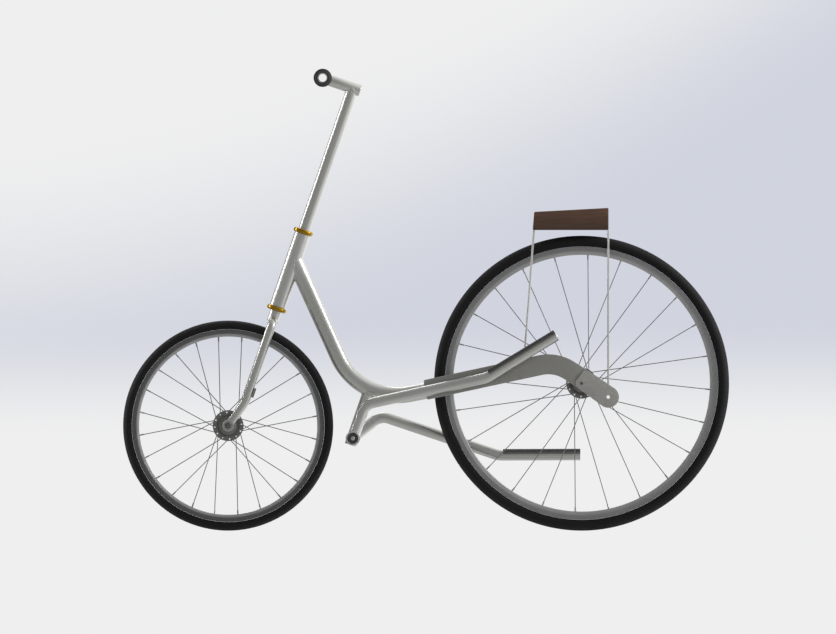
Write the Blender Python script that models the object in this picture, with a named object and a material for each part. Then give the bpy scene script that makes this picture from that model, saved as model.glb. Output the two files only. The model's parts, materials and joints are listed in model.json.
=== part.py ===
"""Stand-up treadle cycle: large rear wheel, small steered front wheel, two swinging foot levers.

Metres, +Z up. The front points towards -X and the rider's left is -Y. The origin is on the ground,
under the middle of the cycle's length.
"""
import bmesh
import bpy
from math import acos, cos, pi, radians, sin, tan
from mathutils import Matrix, Vector

# ---- clearances and mesh density -------------------------------------------------------------
GAP = 0.0003                      # space kept between two touching pieces
TUBE_SIDES = 12
ROUND_SEGMENTS = 20
WHEEL_SEGMENTS = 48
BEND_STEP = radians(13.0)         # turn of a bent tube from one ring to the next

# ---- wheels ----------------------------------------------------------------------------------
FRONT_WHEEL = {"name": "front", "centre": (-0.46425, 0.0, 0.2465), "tyre_r": 0.2465,
               "rim_r": 0.2257, "rim_inner_r": 0.2088, "rim_shoulder_r": 0.2140, "first_spoke": 6.2}
REAR_WHEEL = {"name": "rear", "centre": (0.36475, 0.0, 0.3460), "tyre_r": 0.3460,
              "rim_r": 0.3200, "rim_inner_r": 0.3010, "rim_shoulder_r": 0.3095, "first_spoke": 27.2}
TYRE_HALF_WIDTH = 0.0165
TYRE_WALL = 0.0028
TYRE_CENTRE_DROP = 0.0015         # the casing's widest place is this far below mid-height
TYRE_STEPS = 6
RIM_HALF_WIDTH = 0.0120
RIM_INNER_HALF_WIDTH = 0.0075
RIM_FLANGE = 0.0018
RIM_WELL_DEPTH = 0.0062
RIM_WELL_MARGIN = 0.0015
FLANGE_R = 0.0363
FLANGE_THICKNESS = 0.0034
FLANGE_Y = 0.0280
SPOKE_HOLE_R = 0.0313
SPOKE_R = 0.0010
SPOKES_PER_SIDE = 12
SPOKE_SIDES = 5
SPOKE_FACE_OFFSET = 0.0016        # how far a spoke leaves the middle of its flange
SPOKE_RIM_Y = 0.0030
SPOKE_LEAN = {-1: 30.0, 1: 41.0}  # degrees from a spoke's rim end to its flange hole, by side
HUB_R = 0.0168
HUB_HALF_LENGTH = 0.0360
BEARING_R = 0.0130
BEARING_WIDTH = 0.0080
AXLE_R = 0.0050
AXLE_SHOULDER_R = 0.0080
NUT_CORNER_R = 0.0075
NUT_THICKNESS = 0.0067
AXLE_BEYOND_FORK = 0.0095
AXLE_CLEARANCE = 0.0004           # between an axle's shoulder and its bearing
HUB_WAIST_R = 0.0128
HUB_BARREL_Y = 0.0200             # where the hub reaches its full radius
HUB_WAIST_BORE_R = 0.0095
TYRE_BEAD_ANGLE = radians(42.0)   # how far the casing wraps down each side

# ---- steering --------------------------------------------------------------------------------
STEERING_TOP = (-0.2880, 0.0, 0.7016)      # centre of the upper headset ring
STEERING_LEAN = radians(19.0)
HEADSET_SPACING = 0.1914
HEADSET_R = 0.0237
HEADSET_HALF_HEIGHT = 0.0053
HEADSET_ROUNDING = 0.0016
HEADSET_LIP_R = 0.0142
HEADSET_SEAT_R = 0.0182
HEADSET_FLOOR = 0.0020
HEADSET_BEARING_R = 0.0179
HEADSET_BEARING_SPAN = (-0.0030, 0.0045)
HEAD_TUBE_R = 0.0192
HEAD_TUBE_BORE_R = 0.0170
STEERER_R = 0.0135
STEERER_BORE_R = 0.0116
EXTENSION_HEIGHT = 0.3558                  # above the upper ring, along the steering axis
EXTENSION_R = 0.0135
EXTENSION_BORE_R = 0.0116
EXTENSION_BACK = 0.0190
HANDLEBAR_REACH = 0.0745                   # ahead of the steering axis
HANDLEBAR_R = 0.0111
HANDLEBAR_BORE_R = 0.0092
HANDLEBAR_HALF_WIDTH = 0.2985
GRIP_HALF_SPAN = 0.3000
GRIP_LENGTH = 0.1300
GRIP_R = 0.0165
GRIP_FLANGE_R = 0.0215
GRIP_FLANGE_THICKNESS = 0.0050
GRIP_FLANGE_SLOPE = 0.0030
GRIP_END_ROUNDING = 0.0020
STEERER_DROP = 0.2150                      # below the upper ring, along the steering axis
CROWN_DROP = 0.2225
CROWN_HALF_WIDTH = 0.0160
BLADE_R = 0.0108                           # the crown is a short tube of the same section
BLADE_BORE_R = 0.0091
BLADE_BACK = 0.0009                        # behind the steering axis
BLADE_TOP_Y = 0.0390
BLADE_BEND_DROP = 0.4229
BLADE_BEND_RADII = (0.0220, 0.0600)        # at the shoulder and above the wheel's axle
FORK_END_R = 0.01385
FORK_END_Y = (0.0495, 0.0565)
BRAKE_TAB_CENTRE = (-0.4036, -0.0460, 0.3229)
BRAKE_TAB_LENGTH = 0.0230
BRAKE_TAB_SECTION = (0.0100, 0.0040)       # across the wheel, and thickness

# ---- frame -----------------------------------------------------------------------------------
MAIN_TUBE_R = 0.0190
MAIN_TUBE_BORE_R = 0.0172
MAIN_TUBE_TOP = (-0.3100, 0.0, 0.6375)     # on the steering axis, inside the head tube
MAIN_TUBE_CORNER = (-0.1566, 0.0, 0.2981)
MAIN_TUBE_END = (-0.0007, 0.0, 0.3279)     # where the arms begin
MAIN_TUBE_BEND_R = 0.1530
ARM_RISE = radians(12.2)
ARM_FRONT = (-0.0007, 0.0, 0.3303)
ARM_CORNER = (0.3042, 0.0, 0.3962)
ARM_REAR = (0.3922, 0.0, 0.3396)
ARM_BEND_R = 0.0900
ARM_HEIGHT = 0.0470
ARM_THICKNESS = 0.0120
ARM_Y = 0.0520
YOKE_THICKNESS = 0.0080
YOKE_GAP = 0.0015                          # from the main tube's end
YOKE_MARGIN = 0.0010                       # the plate is this much lower than the arms, above and below
PIVOT = (-0.1719, 0.0, 0.2167)
POST_LEAN = radians(19.0)
POST_R = 0.0143
POST_BORE_R = 0.0125
POST_LENGTH = 0.1210
POST_BELOW_PIVOT = 0.0165
DROPOUT_Y = (0.0583, 0.0633)
HANGER_HOLE = (0.4273, 0.0, 0.3136)
HANGER_HOLE_R = 0.0040
DROPOUT_END_R = 0.0252
DROPOUT_NOSE_R = 0.0145                    # round the axle
DROPOUT_NOSE_ARC = (155.0, 235.0)          # degrees from +X towards +Z
DROPOUT_EYE_ARC = (-128.0, 62.0)
DROPOUT_NOSE_TOP = (0.3706, 0.3765)
DROPOUT_LOWER_EDGE = ((0.3699, 0.3246), (0.3824, 0.3153))
DROPOUT_UPPER_EDGE = ((0.4200, 0.3490), (0.4060, 0.3575), (0.3960, 0.3640))
DROPOUT_ARC_STEPS = (5, 14)                # round the axle and round the eye
AXLE_BOLT_R = 0.0033
AXLE_BOLT_PROUD = 0.0008

# ---- treadles --------------------------------------------------------------------------------
PIVOT_TUBE_R = 0.0120
PIVOT_TUBE_HALF_LENGTH = 0.0887
PIVOT_BOLT_R = 0.0050
PIVOT_BOLT_HALF_LENGTH = 0.0925
PIVOT_CAP_R = 0.0129
PIVOT_CAP_Y = (0.0890, 0.0914)
LEVER_Y = 0.0780
LEVER_R = 0.0127
LEVER_BORE_R = 0.0110
LEVER_HUB_R = 0.0170
LEVER_HUB_BORE_R = 0.0134
LEVER_HUB_Y = (0.0165, 0.0920)
LEVER_BUSH_R = (0.01225, 0.0131)
LEVER_BUSH_Y = (0.0190, 0.0885)
LEVER_SECTIONS = ((0.0844, 70.0), (0.2906, 12.4), (0.1928, 31.2))   # length, degrees above level
LEVER_BEND_RADII = (0.0380, 0.0600)
LEVER_SWING = radians(31.0)                # the right lever rests this far below the left one
FOOT_STRIP_THICKNESS = 0.0016
FOOT_STRIP_HALF_ANGLE = radians(78.0)
FOOT_STRIP_LENGTH = 0.1820
FOOT_STRIP_STEPS = 10

# ---- seat block and its stays ----------------------------------------------------------------
SEAT_OUTLINE = ((0.2500, 0.7052), (0.4280, 0.7052), (0.4280, 0.7573), (0.2535, 0.7480))
SEAT_HALF_WIDTH = 0.0650
SEAT_EDGE_R = 0.0025
STAY_R = 0.0024
STAY_SIDES = 10
FRONT_STAY = ((0.2300, 0.4056), (0.2320, 0.4297), (0.2530, 0.7048))
FRONT_STAY_Y = 0.0520
REAR_STAY_X = 0.4274
REAR_STAY_Z = (0.3240, 0.7048)
REAR_STAY_Y = 0.0555

SIDES = {"left": -1, "right": 1}
CUTTER_REACH = 0.0600             # half length of a cutting tool along the frame's plane
CUTTER_SPAN = (-0.1000, 0.1000)   # a cutting tool that runs right through, along Y
SHARP_EDGE = radians(35.0)


# ---- materials -------------------------------------------------------------------------------
def material(name, colour, roughness, metallic):
    """A plain Principled material."""
    made = bpy.data.materials.new(name)
    made.use_nodes = True
    shader = made.node_tree.nodes["Principled BSDF"]
    shader.inputs["Base Color"].default_value = (*colour, 1.0)
    shader.inputs["Roughness"].default_value = roughness
    shader.inputs["Metallic"].default_value = metallic
    return made


def make_materials():
    """Every finish on the cycle, by name."""
    return {
        "tube_paint": material("tube_paint", (0.48, 0.48, 0.45), 0.30, 0.55),
        "arm_paint": material("arm_paint", (0.16, 0.16, 0.14), 0.55, 0.20),
        "plate_paint": material("plate_paint", (0.21, 0.21, 0.19), 0.50, 0.20),
        "brass": material("brass", (0.46, 0.27, 0.03), 0.35, 0.90),
        "dark_steel": material("dark_steel", (0.05, 0.05, 0.05), 0.45, 0.70),
        "bright_steel": material("bright_steel", (0.45, 0.45, 0.44), 0.30, 0.95),
        "bronze": material("bronze", (0.35, 0.20, 0.08), 0.40, 0.90),
        "hub_grey": material("hub_grey", (0.07, 0.07, 0.06), 0.40, 0.60),
        "rim_grey": material("rim_grey", (0.17, 0.17, 0.16), 0.40, 0.70),
        "tyre_rubber": material("tyre_rubber", (0.015, 0.015, 0.015), 0.80, 0.0),
        "grip_rubber": material("grip_rubber", (0.03, 0.03, 0.03), 0.75, 0.0),
        "wood": material("wood", (0.07, 0.04, 0.025), 0.55, 0.0),
    }


# ---- scene helpers ---------------------------------------------------------------------------
def clear_scene():
    """Remove every object, mesh and material."""
    for obj in list(bpy.data.objects):
        bpy.data.objects.remove(obj, do_unlink=True)
    for collection in (bpy.data.meshes, bpy.data.materials):
        for block in list(collection):
            collection.remove(block)


def empty(name, place, lean=0.0, parent=None):
    """An empty at a joint, leaned about Y."""
    made = bpy.data.objects.new(name, None)
    bpy.context.scene.collection.objects.link(made)
    made.location = place
    made.rotation_euler = (0.0, lean, 0.0)
    made.parent = parent
    return made


def add_object(name, mesh_data, finish, parent):
    """Turn a bmesh into a smooth-shaded object under its parent."""
    bmesh.ops.recalc_face_normals(mesh_data, faces=mesh_data.faces)
    mesh = bpy.data.meshes.new(name)
    mesh_data.to_mesh(mesh)
    mesh_data.free()
    mesh.shade_smooth()
    mesh.set_sharp_from_angle(angle=SHARP_EDGE)
    if finish is not None:
        mesh.materials.append(finish)
    made = bpy.data.objects.new(name, mesh)
    bpy.context.scene.collection.objects.link(made)
    made.parent = parent
    return made


def hide_cutter(cutter):
    """Mark an object as a cutting tool that isn't a piece of the cycle."""
    cutter.hide_render = True
    cutter.display_type = "WIRE"
    return cutter


def combine(target, tool, operation):
    """Add a Boolean of tool to target."""
    modifier = target.modifiers.new(f"{operation.lower()}_{tool.name}", "BOOLEAN")
    modifier.operation = operation
    modifier.solver = "EXACT"
    modifier.object = tool


def cut(target, *tools):
    """Cut tools out of target."""
    for tool in tools:
        combine(target, tool, "DIFFERENCE")


# ---- outlines and paths ----------------------------------------------------------------------
def circle(radius, sides=TUBE_SIDES):
    """A round section as (sideways, upwards) pairs."""
    angles = [2 * pi * i / sides for i in range(sides)]
    return [(radius * cos(a), radius * sin(a)) for a in angles]


def hexagon(corner_r, per_side=4):
    """A six-sided section with extra points along its sides."""
    corners = circle(corner_r, 6)
    points = []
    for (s0, u0), (s1, u1) in zip(corners, corners[1:] + corners[:1]):
        for i in range(per_side):
            part = i / per_side
            points.append((s0 + (s1 - s0) * part, u0 + (u1 - u0) * part))
    return points


def rectangle(width, height):
    """A box section as (sideways, upwards) pairs."""
    w, h = width / 2, height / 2
    return [(-w, -h), (w, -h), (w, h), (-w, h)]


def fillet(before, corner, after, radius):
    """Points along the arc that rounds a corner."""
    to_before = (before - corner).normalized()
    to_after = (after - corner).normalized()
    turn = pi - acos(max(-1.0, min(1.0, to_before.dot(to_after))))
    reach = radius * tan(turn / 2)
    centre = corner + (to_before + to_after).normalized() * (radius / cos(turn / 2))
    start = corner + to_before * reach
    axis = (start - centre).cross(corner + to_after * reach - centre).normalized()
    steps = max(2, round(turn / BEND_STEP))
    return [centre + Matrix.Rotation(turn * i / steps, 3, axis) @ (start - centre) for i in range(steps + 1)]


def bent_path(corners, radii):
    """A path through corners, each inner one rounded by its radius."""
    points = [Vector(corner) for corner in corners]
    path = [points[0]]
    for i, radius in enumerate(radii, start=1):
        path += fillet(points[i - 1], points[i], points[i + 1], radius)
    return path + [points[-1]]


def path_directions(path):
    """The unit direction of travel at each point of a path."""
    directions = []
    for i, point in enumerate(path):
        ahead = (path[i + 1] - point).normalized() if i + 1 < len(path) else Vector()
        behind = (point - path[i - 1]).normalized() if i else Vector()
        directions.append((ahead + behind).normalized())
    return directions


# ---- solids ----------------------------------------------------------------------------------
def section_rings(mesh, path, section, side):
    """One ring of vertices at each point of the path, turned with the path."""
    rings = []
    across = Vector(side)
    for point, along in zip(path, path_directions(path)):
        across = (across - along * across.dot(along)).normalized()
        up = along.cross(across)
        rings.append([mesh.verts.new(point + across * s + up * u) for s, u in section])
    return rings


def skin_rings(mesh, rings, closed):
    """Quads between neighbouring rings; closed joins the last ring to the first."""
    count = len(rings) if closed else len(rings) - 1
    for i in range(count):
        here, there = rings[i], rings[(i + 1) % len(rings)]
        for j in range(len(here)):
            k = (j + 1) % len(here)
            mesh.faces.new((here[j], here[k], there[k], there[j]))


def sweep(name, path, outer, finish, parent, inner=None, side=(0.0, 1.0, 0.0)):
    """A bar, or with an inner section a tube that is open at both ends, along a path."""
    mesh = bmesh.new()
    outside = section_rings(mesh, path, outer, side)
    skin_rings(mesh, outside, closed=False)
    if inner is None:
        mesh.faces.new(outside[0])
        mesh.faces.new(outside[-1])
    else:
        inside = section_rings(mesh, path, inner, side)
        skin_rings(mesh, inside, closed=False)
        skin_rings(mesh, [outside[0], inside[0]], closed=False)
        skin_rings(mesh, [outside[-1], inside[-1]], closed=False)
    return add_object(name, mesh, finish, parent)


def rod(name, start, end, radius, finish, parent, bore=0.0, sides=ROUND_SEGMENTS, side=(0.0, 1.0, 0.0)):
    """A straight round bar or tube."""
    inner = circle(bore, sides) if bore else None
    return sweep(name, [Vector(start), Vector(end)], circle(radius, sides), finish, parent, inner, side)


def cross_rod(name, x, z, y_span, radius, finish, parent, bore=0.0):
    """A round bar or tube along Y, between the two ends of y_span."""
    start, end = (x, y_span[0], z), (x, y_span[1], z)
    return rod(name, start, end, radius, finish, parent, bore, side=(1.0, 0.0, 0.0))


def cross_cutter(name, x, z, y_span, radius, parent):
    """A round cutting tool along Y."""
    return hide_cutter(cross_rod(name, x, z, y_span, radius, None, parent))


def on_side(side, span):
    """A pair of distances from the middle plane, on the left (-1) or right (1)."""
    return side * span[0], side * span[1]


def turned(name, profile, finish, parent, axis="Y", segments=ROUND_SEGMENTS):
    """A ring turned round an axis from a closed profile of (radius, distance along the axis)."""
    mesh = bmesh.new()
    rings = []
    for i in range(segments):
        angle = 2 * pi * i / segments
        if axis == "Y":
            rings.append([mesh.verts.new((r * cos(angle), a, r * sin(angle))) for r, a in profile])
        else:
            rings.append([mesh.verts.new((r * cos(angle), r * sin(angle), a)) for r, a in profile])
    skin_rings(mesh, rings, closed=True)
    return add_object(name, mesh, finish, parent)


def plate(name, outline, y_from, y_to, finish, parent):
    """A flat plate in the XZ plane, from its outline of (x, z) points."""
    mesh = bmesh.new()
    face = mesh.faces.new([mesh.verts.new((x, y_from, z)) for x, z in outline])
    walls = bmesh.ops.extrude_face_region(mesh, geom=[face])["geom"]
    moved = [item for item in walls if isinstance(item, bmesh.types.BMVert)]
    bmesh.ops.translate(mesh, verts=moved, vec=(0.0, y_to - y_from, 0.0))
    return add_object(name, mesh, finish, parent)


def arc_points(centre, radius, start, end, steps):
    """(x, z) points of an arc, angles in degrees from +X towards +Z."""
    angles = [radians(start + (end - start) * i / steps) for i in range(steps + 1)]
    return [(centre[0] + radius * cos(a), centre[1] + radius * sin(a)) for a in angles]


# ---- wheels ----------------------------------------------------------------------------------
def tyre_profile(wheel):
    """Closed profile of a tyre casing, open towards the rim between its two beads."""
    edge = wheel["rim_r"] + GAP
    middle = (wheel["tyre_r"] + edge) / 2 - TYRE_CENTRE_DROP
    profile = []
    for wall, order in ((0.0, 1), (TYRE_WALL, -1)):
        half_width, reach = TYRE_HALF_WIDTH - wall, wheel["tyre_r"] - wall - middle
        arc = []
        for i in range(TYRE_STEPS + 1):
            angle = -TYRE_BEAD_ANGLE + (pi + 2 * TYRE_BEAD_ANGLE) * i / TYRE_STEPS
            arc.append((middle + reach * sin(angle), half_width * cos(angle)))
        arc[0] = (edge, arc[0][1])
        arc[-1] = (edge, arc[-1][1])
        profile += arc[::order]
    return profile


def rim_profile(wheel):
    """Closed profile of a box rim with a bead well between two flanges."""
    top, well = wheel["rim_r"], wheel["rim_r"] - RIM_WELL_DEPTH
    inside = RIM_HALF_WIDTH - RIM_FLANGE
    floor = inside - RIM_WELL_MARGIN
    half = [(top, inside), (top, RIM_HALF_WIDTH), (wheel["rim_shoulder_r"], RIM_HALF_WIDTH),
            (wheel["rim_inner_r"], RIM_INNER_HALF_WIDTH)]
    mirrored = [(r, -y) for r, y in reversed(half)]
    return half + mirrored + [(well, -floor), (well, floor)]


def spoke_ends(wheel, side):
    """(flange end, rim end) of each spoke on one side."""
    lean = SPOKE_LEAN[side]
    reach = wheel["rim_inner_r"] * cos(pi / WHEEL_SEGMENTS) - 2 * GAP
    half_step = 0.0 if side < 0 else 180.0 / SPOKES_PER_SIDE
    ends = []
    for k in range(SPOKES_PER_SIDE):
        turn = 1 if k % 2 else -1
        rim_angle = radians(wheel["first_spoke"] + half_step + 360.0 / SPOKES_PER_SIDE * k)
        hole_angle = rim_angle + radians(lean) * turn
        flange_y = side * (FLANGE_Y + SPOKE_FACE_OFFSET * turn)
        hole = Vector((SPOKE_HOLE_R * cos(hole_angle), flange_y, SPOKE_HOLE_R * sin(hole_angle)))
        rim = Vector((reach * cos(rim_angle), side * SPOKE_RIM_Y, reach * sin(rim_angle)))
        ends.append((hole, rim))
    return ends


def spoke_fan(name, wheel, side, parent):
    """One flange's spokes as a single cutting-tool mesh."""
    mesh = bmesh.new()
    for hole, rim in spoke_ends(wheel, side):
        rings = section_rings(mesh, [hole, rim], circle(SPOKE_R, SPOKE_SIDES), (0.0, 1.0, 0.0))
        skin_rings(mesh, rings, closed=False)
        mesh.faces.new(rings[0])
        mesh.faces.new(rings[-1])
    return hide_cutter(add_object(name, mesh, None, parent))


def spoked_flange(wheel, side_name, finish, parent):
    """A hub flange with its spokes."""
    side = SIDES[side_name]
    inner, outer = HUB_R + GAP, FLANGE_R
    near, far = FLANGE_Y - FLANGE_THICKNESS / 2, FLANGE_Y + FLANGE_THICKNESS / 2
    profile = [(inner, side * near), (outer, side * near), (outer, side * far), (inner, side * far)]
    flange = turned(f"{wheel['name']}_{side_name}_spokes", profile, finish, parent)
    fan = spoke_fan(f"{wheel['name']}_{side_name}_spoke_fan", wheel, side, parent)
    combine(flange, fan, "UNION")


def hub_profile():
    """Closed profile of the hub shell: a barrel with a bearing seat at each end."""
    seat = HUB_HALF_LENGTH - BEARING_WIDTH - 2 * GAP
    half = [(HUB_WAIST_R, 0.0), (HUB_R, HUB_BARREL_Y), (HUB_R, HUB_HALF_LENGTH),
            (BEARING_R + GAP, HUB_HALF_LENGTH), (BEARING_R + GAP, seat), (HUB_WAIST_BORE_R, seat)]
    mirrored = [(r, -y) for r, y in reversed(half[1:])]
    return half + mirrored


def make_wheel(wheel, finishes, frame):
    """A wheel's turning pieces under an empty on its axle."""
    name = wheel["name"]
    pivot = empty(f"{name}_wheel_axis", wheel["centre"], parent=frame)
    turned(f"{name}_tyre", tyre_profile(wheel), finishes["tyre_rubber"], pivot, segments=WHEEL_SEGMENTS)
    turned(f"{name}_rim", rim_profile(wheel), finishes["rim_grey"], pivot, segments=WHEEL_SEGMENTS)
    turned(f"{name}_hub", hub_profile(), finishes["hub_grey"], pivot)
    for side_name, side in SIDES.items():
        spoked_flange(wheel, side_name, finishes["hub_grey"], pivot)
        outer = HUB_HALF_LENGTH - GAP
        cross_rod(f"{name}_{side_name}_bearing", 0.0, 0.0, on_side(side, (outer - BEARING_WIDTH, outer)),
                  BEARING_R, finishes["bright_steel"], pivot, AXLE_R + GAP)


def stepped_axle(name, half_length, shoulder_end, finish, parent, place=(0.0, 0.0)):
    """A fixed axle with a thicker shoulder between each bearing and the frame."""
    mesh = bmesh.new()
    shoulder_start = HUB_HALF_LENGTH + AXLE_CLEARANCE
    steps = [(-half_length, AXLE_R), (-shoulder_end, AXLE_R), (-shoulder_end, AXLE_SHOULDER_R),
             (-shoulder_start, AXLE_SHOULDER_R), (-shoulder_start, AXLE_R)]
    steps += [(-y, r) for y, r in reversed(steps)]
    rings = []
    for y, radius in steps:
        section = circle(radius, ROUND_SEGMENTS)
        rings.append([mesh.verts.new((place[0] + a, y, place[1] + b)) for a, b in section])
    skin_rings(mesh, rings, closed=False)
    mesh.faces.new(rings[0])
    mesh.faces.new(rings[-1])
    return add_object(name, mesh, finish, parent)


# ---- steering assembly -----------------------------------------------------------------------
def steering_local(x, z):
    """A world (x, z) point in the steering empty's own frame, as (x, z)."""
    dx, dz = x - STEERING_TOP[0], z - STEERING_TOP[2]
    c, s = cos(STEERING_LEAN), sin(STEERING_LEAN)
    return dx * c - dz * s, dx * s + dz * c


def headset_cup_profile(centre, opening):
    """Closed profile of a headset cup; opening is +1 where its bearing goes in from above."""
    h, outer = HEADSET_HALF_HEIGHT, HEADSET_R
    rounding, floor = HEADSET_ROUNDING, HEADSET_FLOOR - h
    profile = [(HEADSET_LIP_R, -h), (outer - rounding, -h), (outer, rounding - h), (outer, h - rounding),
               (outer - rounding, h), (HEADSET_SEAT_R, h), (HEADSET_SEAT_R, floor), (HEADSET_LIP_R, floor)]
    return [(r, centre + opening * z) for r, z in profile]


def make_head(finishes, axis):
    """Head tube and headset cups, which belong to the frame."""
    low, high = -HEADSET_SPACING, 0.0
    inside = HEADSET_HALF_HEIGHT + GAP
    rod("head_tube", (0.0, 0.0, low + inside), (0.0, 0.0, high - inside), HEAD_TUBE_R,
        finishes["tube_paint"], axis, HEAD_TUBE_BORE_R)
    for name, place, opening in (("upper_headset_cup", high, 1), ("lower_headset_cup", low, -1)):
        turned(name, headset_cup_profile(place, opening), finishes["brass"], axis, axis="Z")


def make_headset_bearings(finishes, axis):
    """The two bearings that turn with the steerer."""
    inner, outer = STEERER_R + GAP, HEADSET_BEARING_R
    near, far = HEADSET_BEARING_SPAN
    for name, place, opening in (("upper", 0.0, 1), ("lower", -HEADSET_SPACING, -1)):
        profile = [(inner, near), (outer, near), (outer, far), (inner, far)]
        placed = [(r, place + opening * z) for r, z in profile]
        turned(f"{name}_headset_bearing", placed, finishes["bright_steel"], axis, axis="Z")


def make_stem(finishes, axis):
    """Steerer, stem extension, handlebar and grips."""
    top, front = EXTENSION_HEIGHT, -HANDLEBAR_REACH
    paint = finishes["tube_paint"]
    steerer = rod("steerer", (0.0, 0.0, -STEERER_DROP), (0.0, 0.0, top), STEERER_R, paint, axis,
                  STEERER_BORE_R)
    extension = rod("stem_extension", (EXTENSION_BACK, 0.0, top), (front, 0.0, top), EXTENSION_R, paint, axis,
                    EXTENSION_BORE_R)
    bar_span = (-HANDLEBAR_HALF_WIDTH, HANDLEBAR_HALF_WIDTH)
    cross_rod("handlebar", front, top, bar_span, HANDLEBAR_R, finishes["bright_steel"], axis,
              HANDLEBAR_BORE_R)
    extension_space = rod("extension_space", (CUTTER_REACH, 0.0, top), (-CUTTER_REACH, 0.0, top),
                          EXTENSION_R + GAP, None, axis)
    crown_space = cross_cutter("crown_space", BLADE_BACK, -CROWN_DROP, CUTTER_SPAN, BLADE_R + GAP, axis)
    cut(steerer, hide_cutter(extension_space), crown_space)
    cut(extension, cross_cutter("handlebar_space", front, top, CUTTER_SPAN, HANDLEBAR_R + GAP, axis))
    for side_name, side in SIDES.items():
        make_grip(f"{side_name}_grip", side, finishes["grip_rubber"], axis)


def make_grip(name, side, finish, axis):
    """A rubber grip with a hand flange at its inner end."""
    end, start = GRIP_HALF_SPAN, GRIP_HALF_SPAN - GRIP_LENGTH
    bore, rounding = HANDLEBAR_R + GAP, GRIP_END_ROUNDING
    flange_end = start + GRIP_FLANGE_THICKNESS
    profile = [(bore, start), (GRIP_FLANGE_R, start), (GRIP_FLANGE_R, flange_end),
               (GRIP_R, flange_end + GRIP_FLANGE_SLOPE), (GRIP_R, end - rounding), (GRIP_R - rounding, end),
               (bore, end)]
    grip = turned(name, [(r, side * y) for r, y in profile], finish, axis)
    grip.location = (-HANDLEBAR_REACH, 0.0, EXTENSION_HEIGHT)


def make_fork(finishes, axis):
    """Crown, blades, fork ends, axle and nuts."""
    hub_x, hub_z = steering_local(FRONT_WHEEL["centre"][0], FRONT_WHEEL["centre"][2])
    cross_rod("fork_crown", BLADE_BACK, -CROWN_DROP, (-CROWN_HALF_WIDTH, CROWN_HALF_WIDTH), BLADE_R,
              finishes["tube_paint"], axis, BLADE_BORE_R)
    hub_space = cross_cutter("fork_end_space", hub_x, hub_z, CUTTER_SPAN, FORK_END_R + GAP, axis)
    end_y = sum(FORK_END_Y) / 2
    bend_y = (BLADE_TOP_Y + FORK_END_Y[0]) / 2
    for side_name, side in SIDES.items():
        corners = [(BLADE_BACK, side * (CROWN_HALF_WIDTH + GAP), -CROWN_DROP),
                   (BLADE_BACK, side * BLADE_TOP_Y, -CROWN_DROP),
                   (BLADE_BACK, side * bend_y, -BLADE_BEND_DROP), (hub_x, side * end_y, hub_z)]
        path = bent_path(corners, BLADE_BEND_RADII)
        blade = sweep(f"{side_name}_fork_blade", path, circle(BLADE_R), finishes["tube_paint"], axis,
                      circle(BLADE_BORE_R), side=(1.0, 0.0, 0.0))
        cut(blade, hub_space)
        cross_rod(f"{side_name}_fork_end", hub_x, hub_z, on_side(side, FORK_END_Y), FORK_END_R,
                  finishes["plate_paint"], axis, AXLE_R + GAP)
        make_axle_nut(f"{side_name}_front_axle_nut", hub_x, hub_z, side, finishes["dark_steel"], axis)
    stepped_axle("front_axle", FORK_END_Y[1] + AXLE_BEYOND_FORK, FORK_END_Y[0] - GAP,
                 finishes["dark_steel"], axis, (hub_x, hub_z))


def make_axle_nut(name, x, z, side, finish, axis):
    """A hexagon nut against the outside of a fork end."""
    sides = hexagon(NUT_CORNER_R)
    near = FORK_END_Y[1] + GAP
    path = [Vector((x, side * y, z)) for y in (near, near + NUT_THICKNESS)]
    bore = circle(AXLE_R + GAP, len(sides))
    sweep(name, path, sides, finish, axis, bore, side=(1.0, 0.0, 0.0))


def make_brake_tab(finishes, axis):
    """The small mounting tab behind the left fork blade."""
    x, z = steering_local(BRAKE_TAB_CENTRE[0], BRAKE_TAB_CENTRE[2])
    middle = Vector((x, BRAKE_TAB_CENTRE[1], z))
    half = Vector((0.0, 0.0, BRAKE_TAB_LENGTH / 2))
    sweep("brake_mount_tab", [middle + half, middle - half], rectangle(*BRAKE_TAB_SECTION),
          finishes["dark_steel"], axis)


# ---- frame -----------------------------------------------------------------------------------
def main_tube_path():
    """Centreline of the main tube, from inside the head tube to the arms."""
    return bent_path([MAIN_TUBE_TOP, MAIN_TUBE_CORNER, MAIN_TUBE_END], [MAIN_TUBE_BEND_R])


def make_main_tube(finishes, frame, head_axis):
    """Main tube, coped to the head tube."""
    main = sweep("main_tube", main_tube_path(), circle(MAIN_TUBE_R), finishes["tube_paint"], frame,
                 circle(MAIN_TUBE_BORE_R))
    head_space = rod("head_tube_space", (0.0, 0.0, -HEADSET_SPACING), (0.0, 0.0, 0.0), HEAD_TUBE_R + GAP,
                     None, head_axis)
    cut(main, hide_cutter(head_space))


def make_pivot_post(finishes, frame):
    """The post under the main tube that carries the treadle pivot."""
    along = Vector((sin(POST_LEAN), 0.0, cos(POST_LEAN)))
    pivot = Vector(PIVOT)
    post = rod("pivot_post", pivot - along * POST_BELOW_PIVOT, pivot + along * POST_LENGTH, POST_R,
               finishes["tube_paint"], frame, POST_BORE_R)
    main_space = sweep("main_tube_space", main_tube_path(), circle(MAIN_TUBE_R + GAP), None, frame)
    pivot_space = cross_cutter("pivot_tube_space", PIVOT[0], PIVOT[2], CUTTER_SPAN, PIVOT_TUBE_R + GAP, frame)
    cut(post, hide_cutter(main_space), pivot_space)


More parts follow.
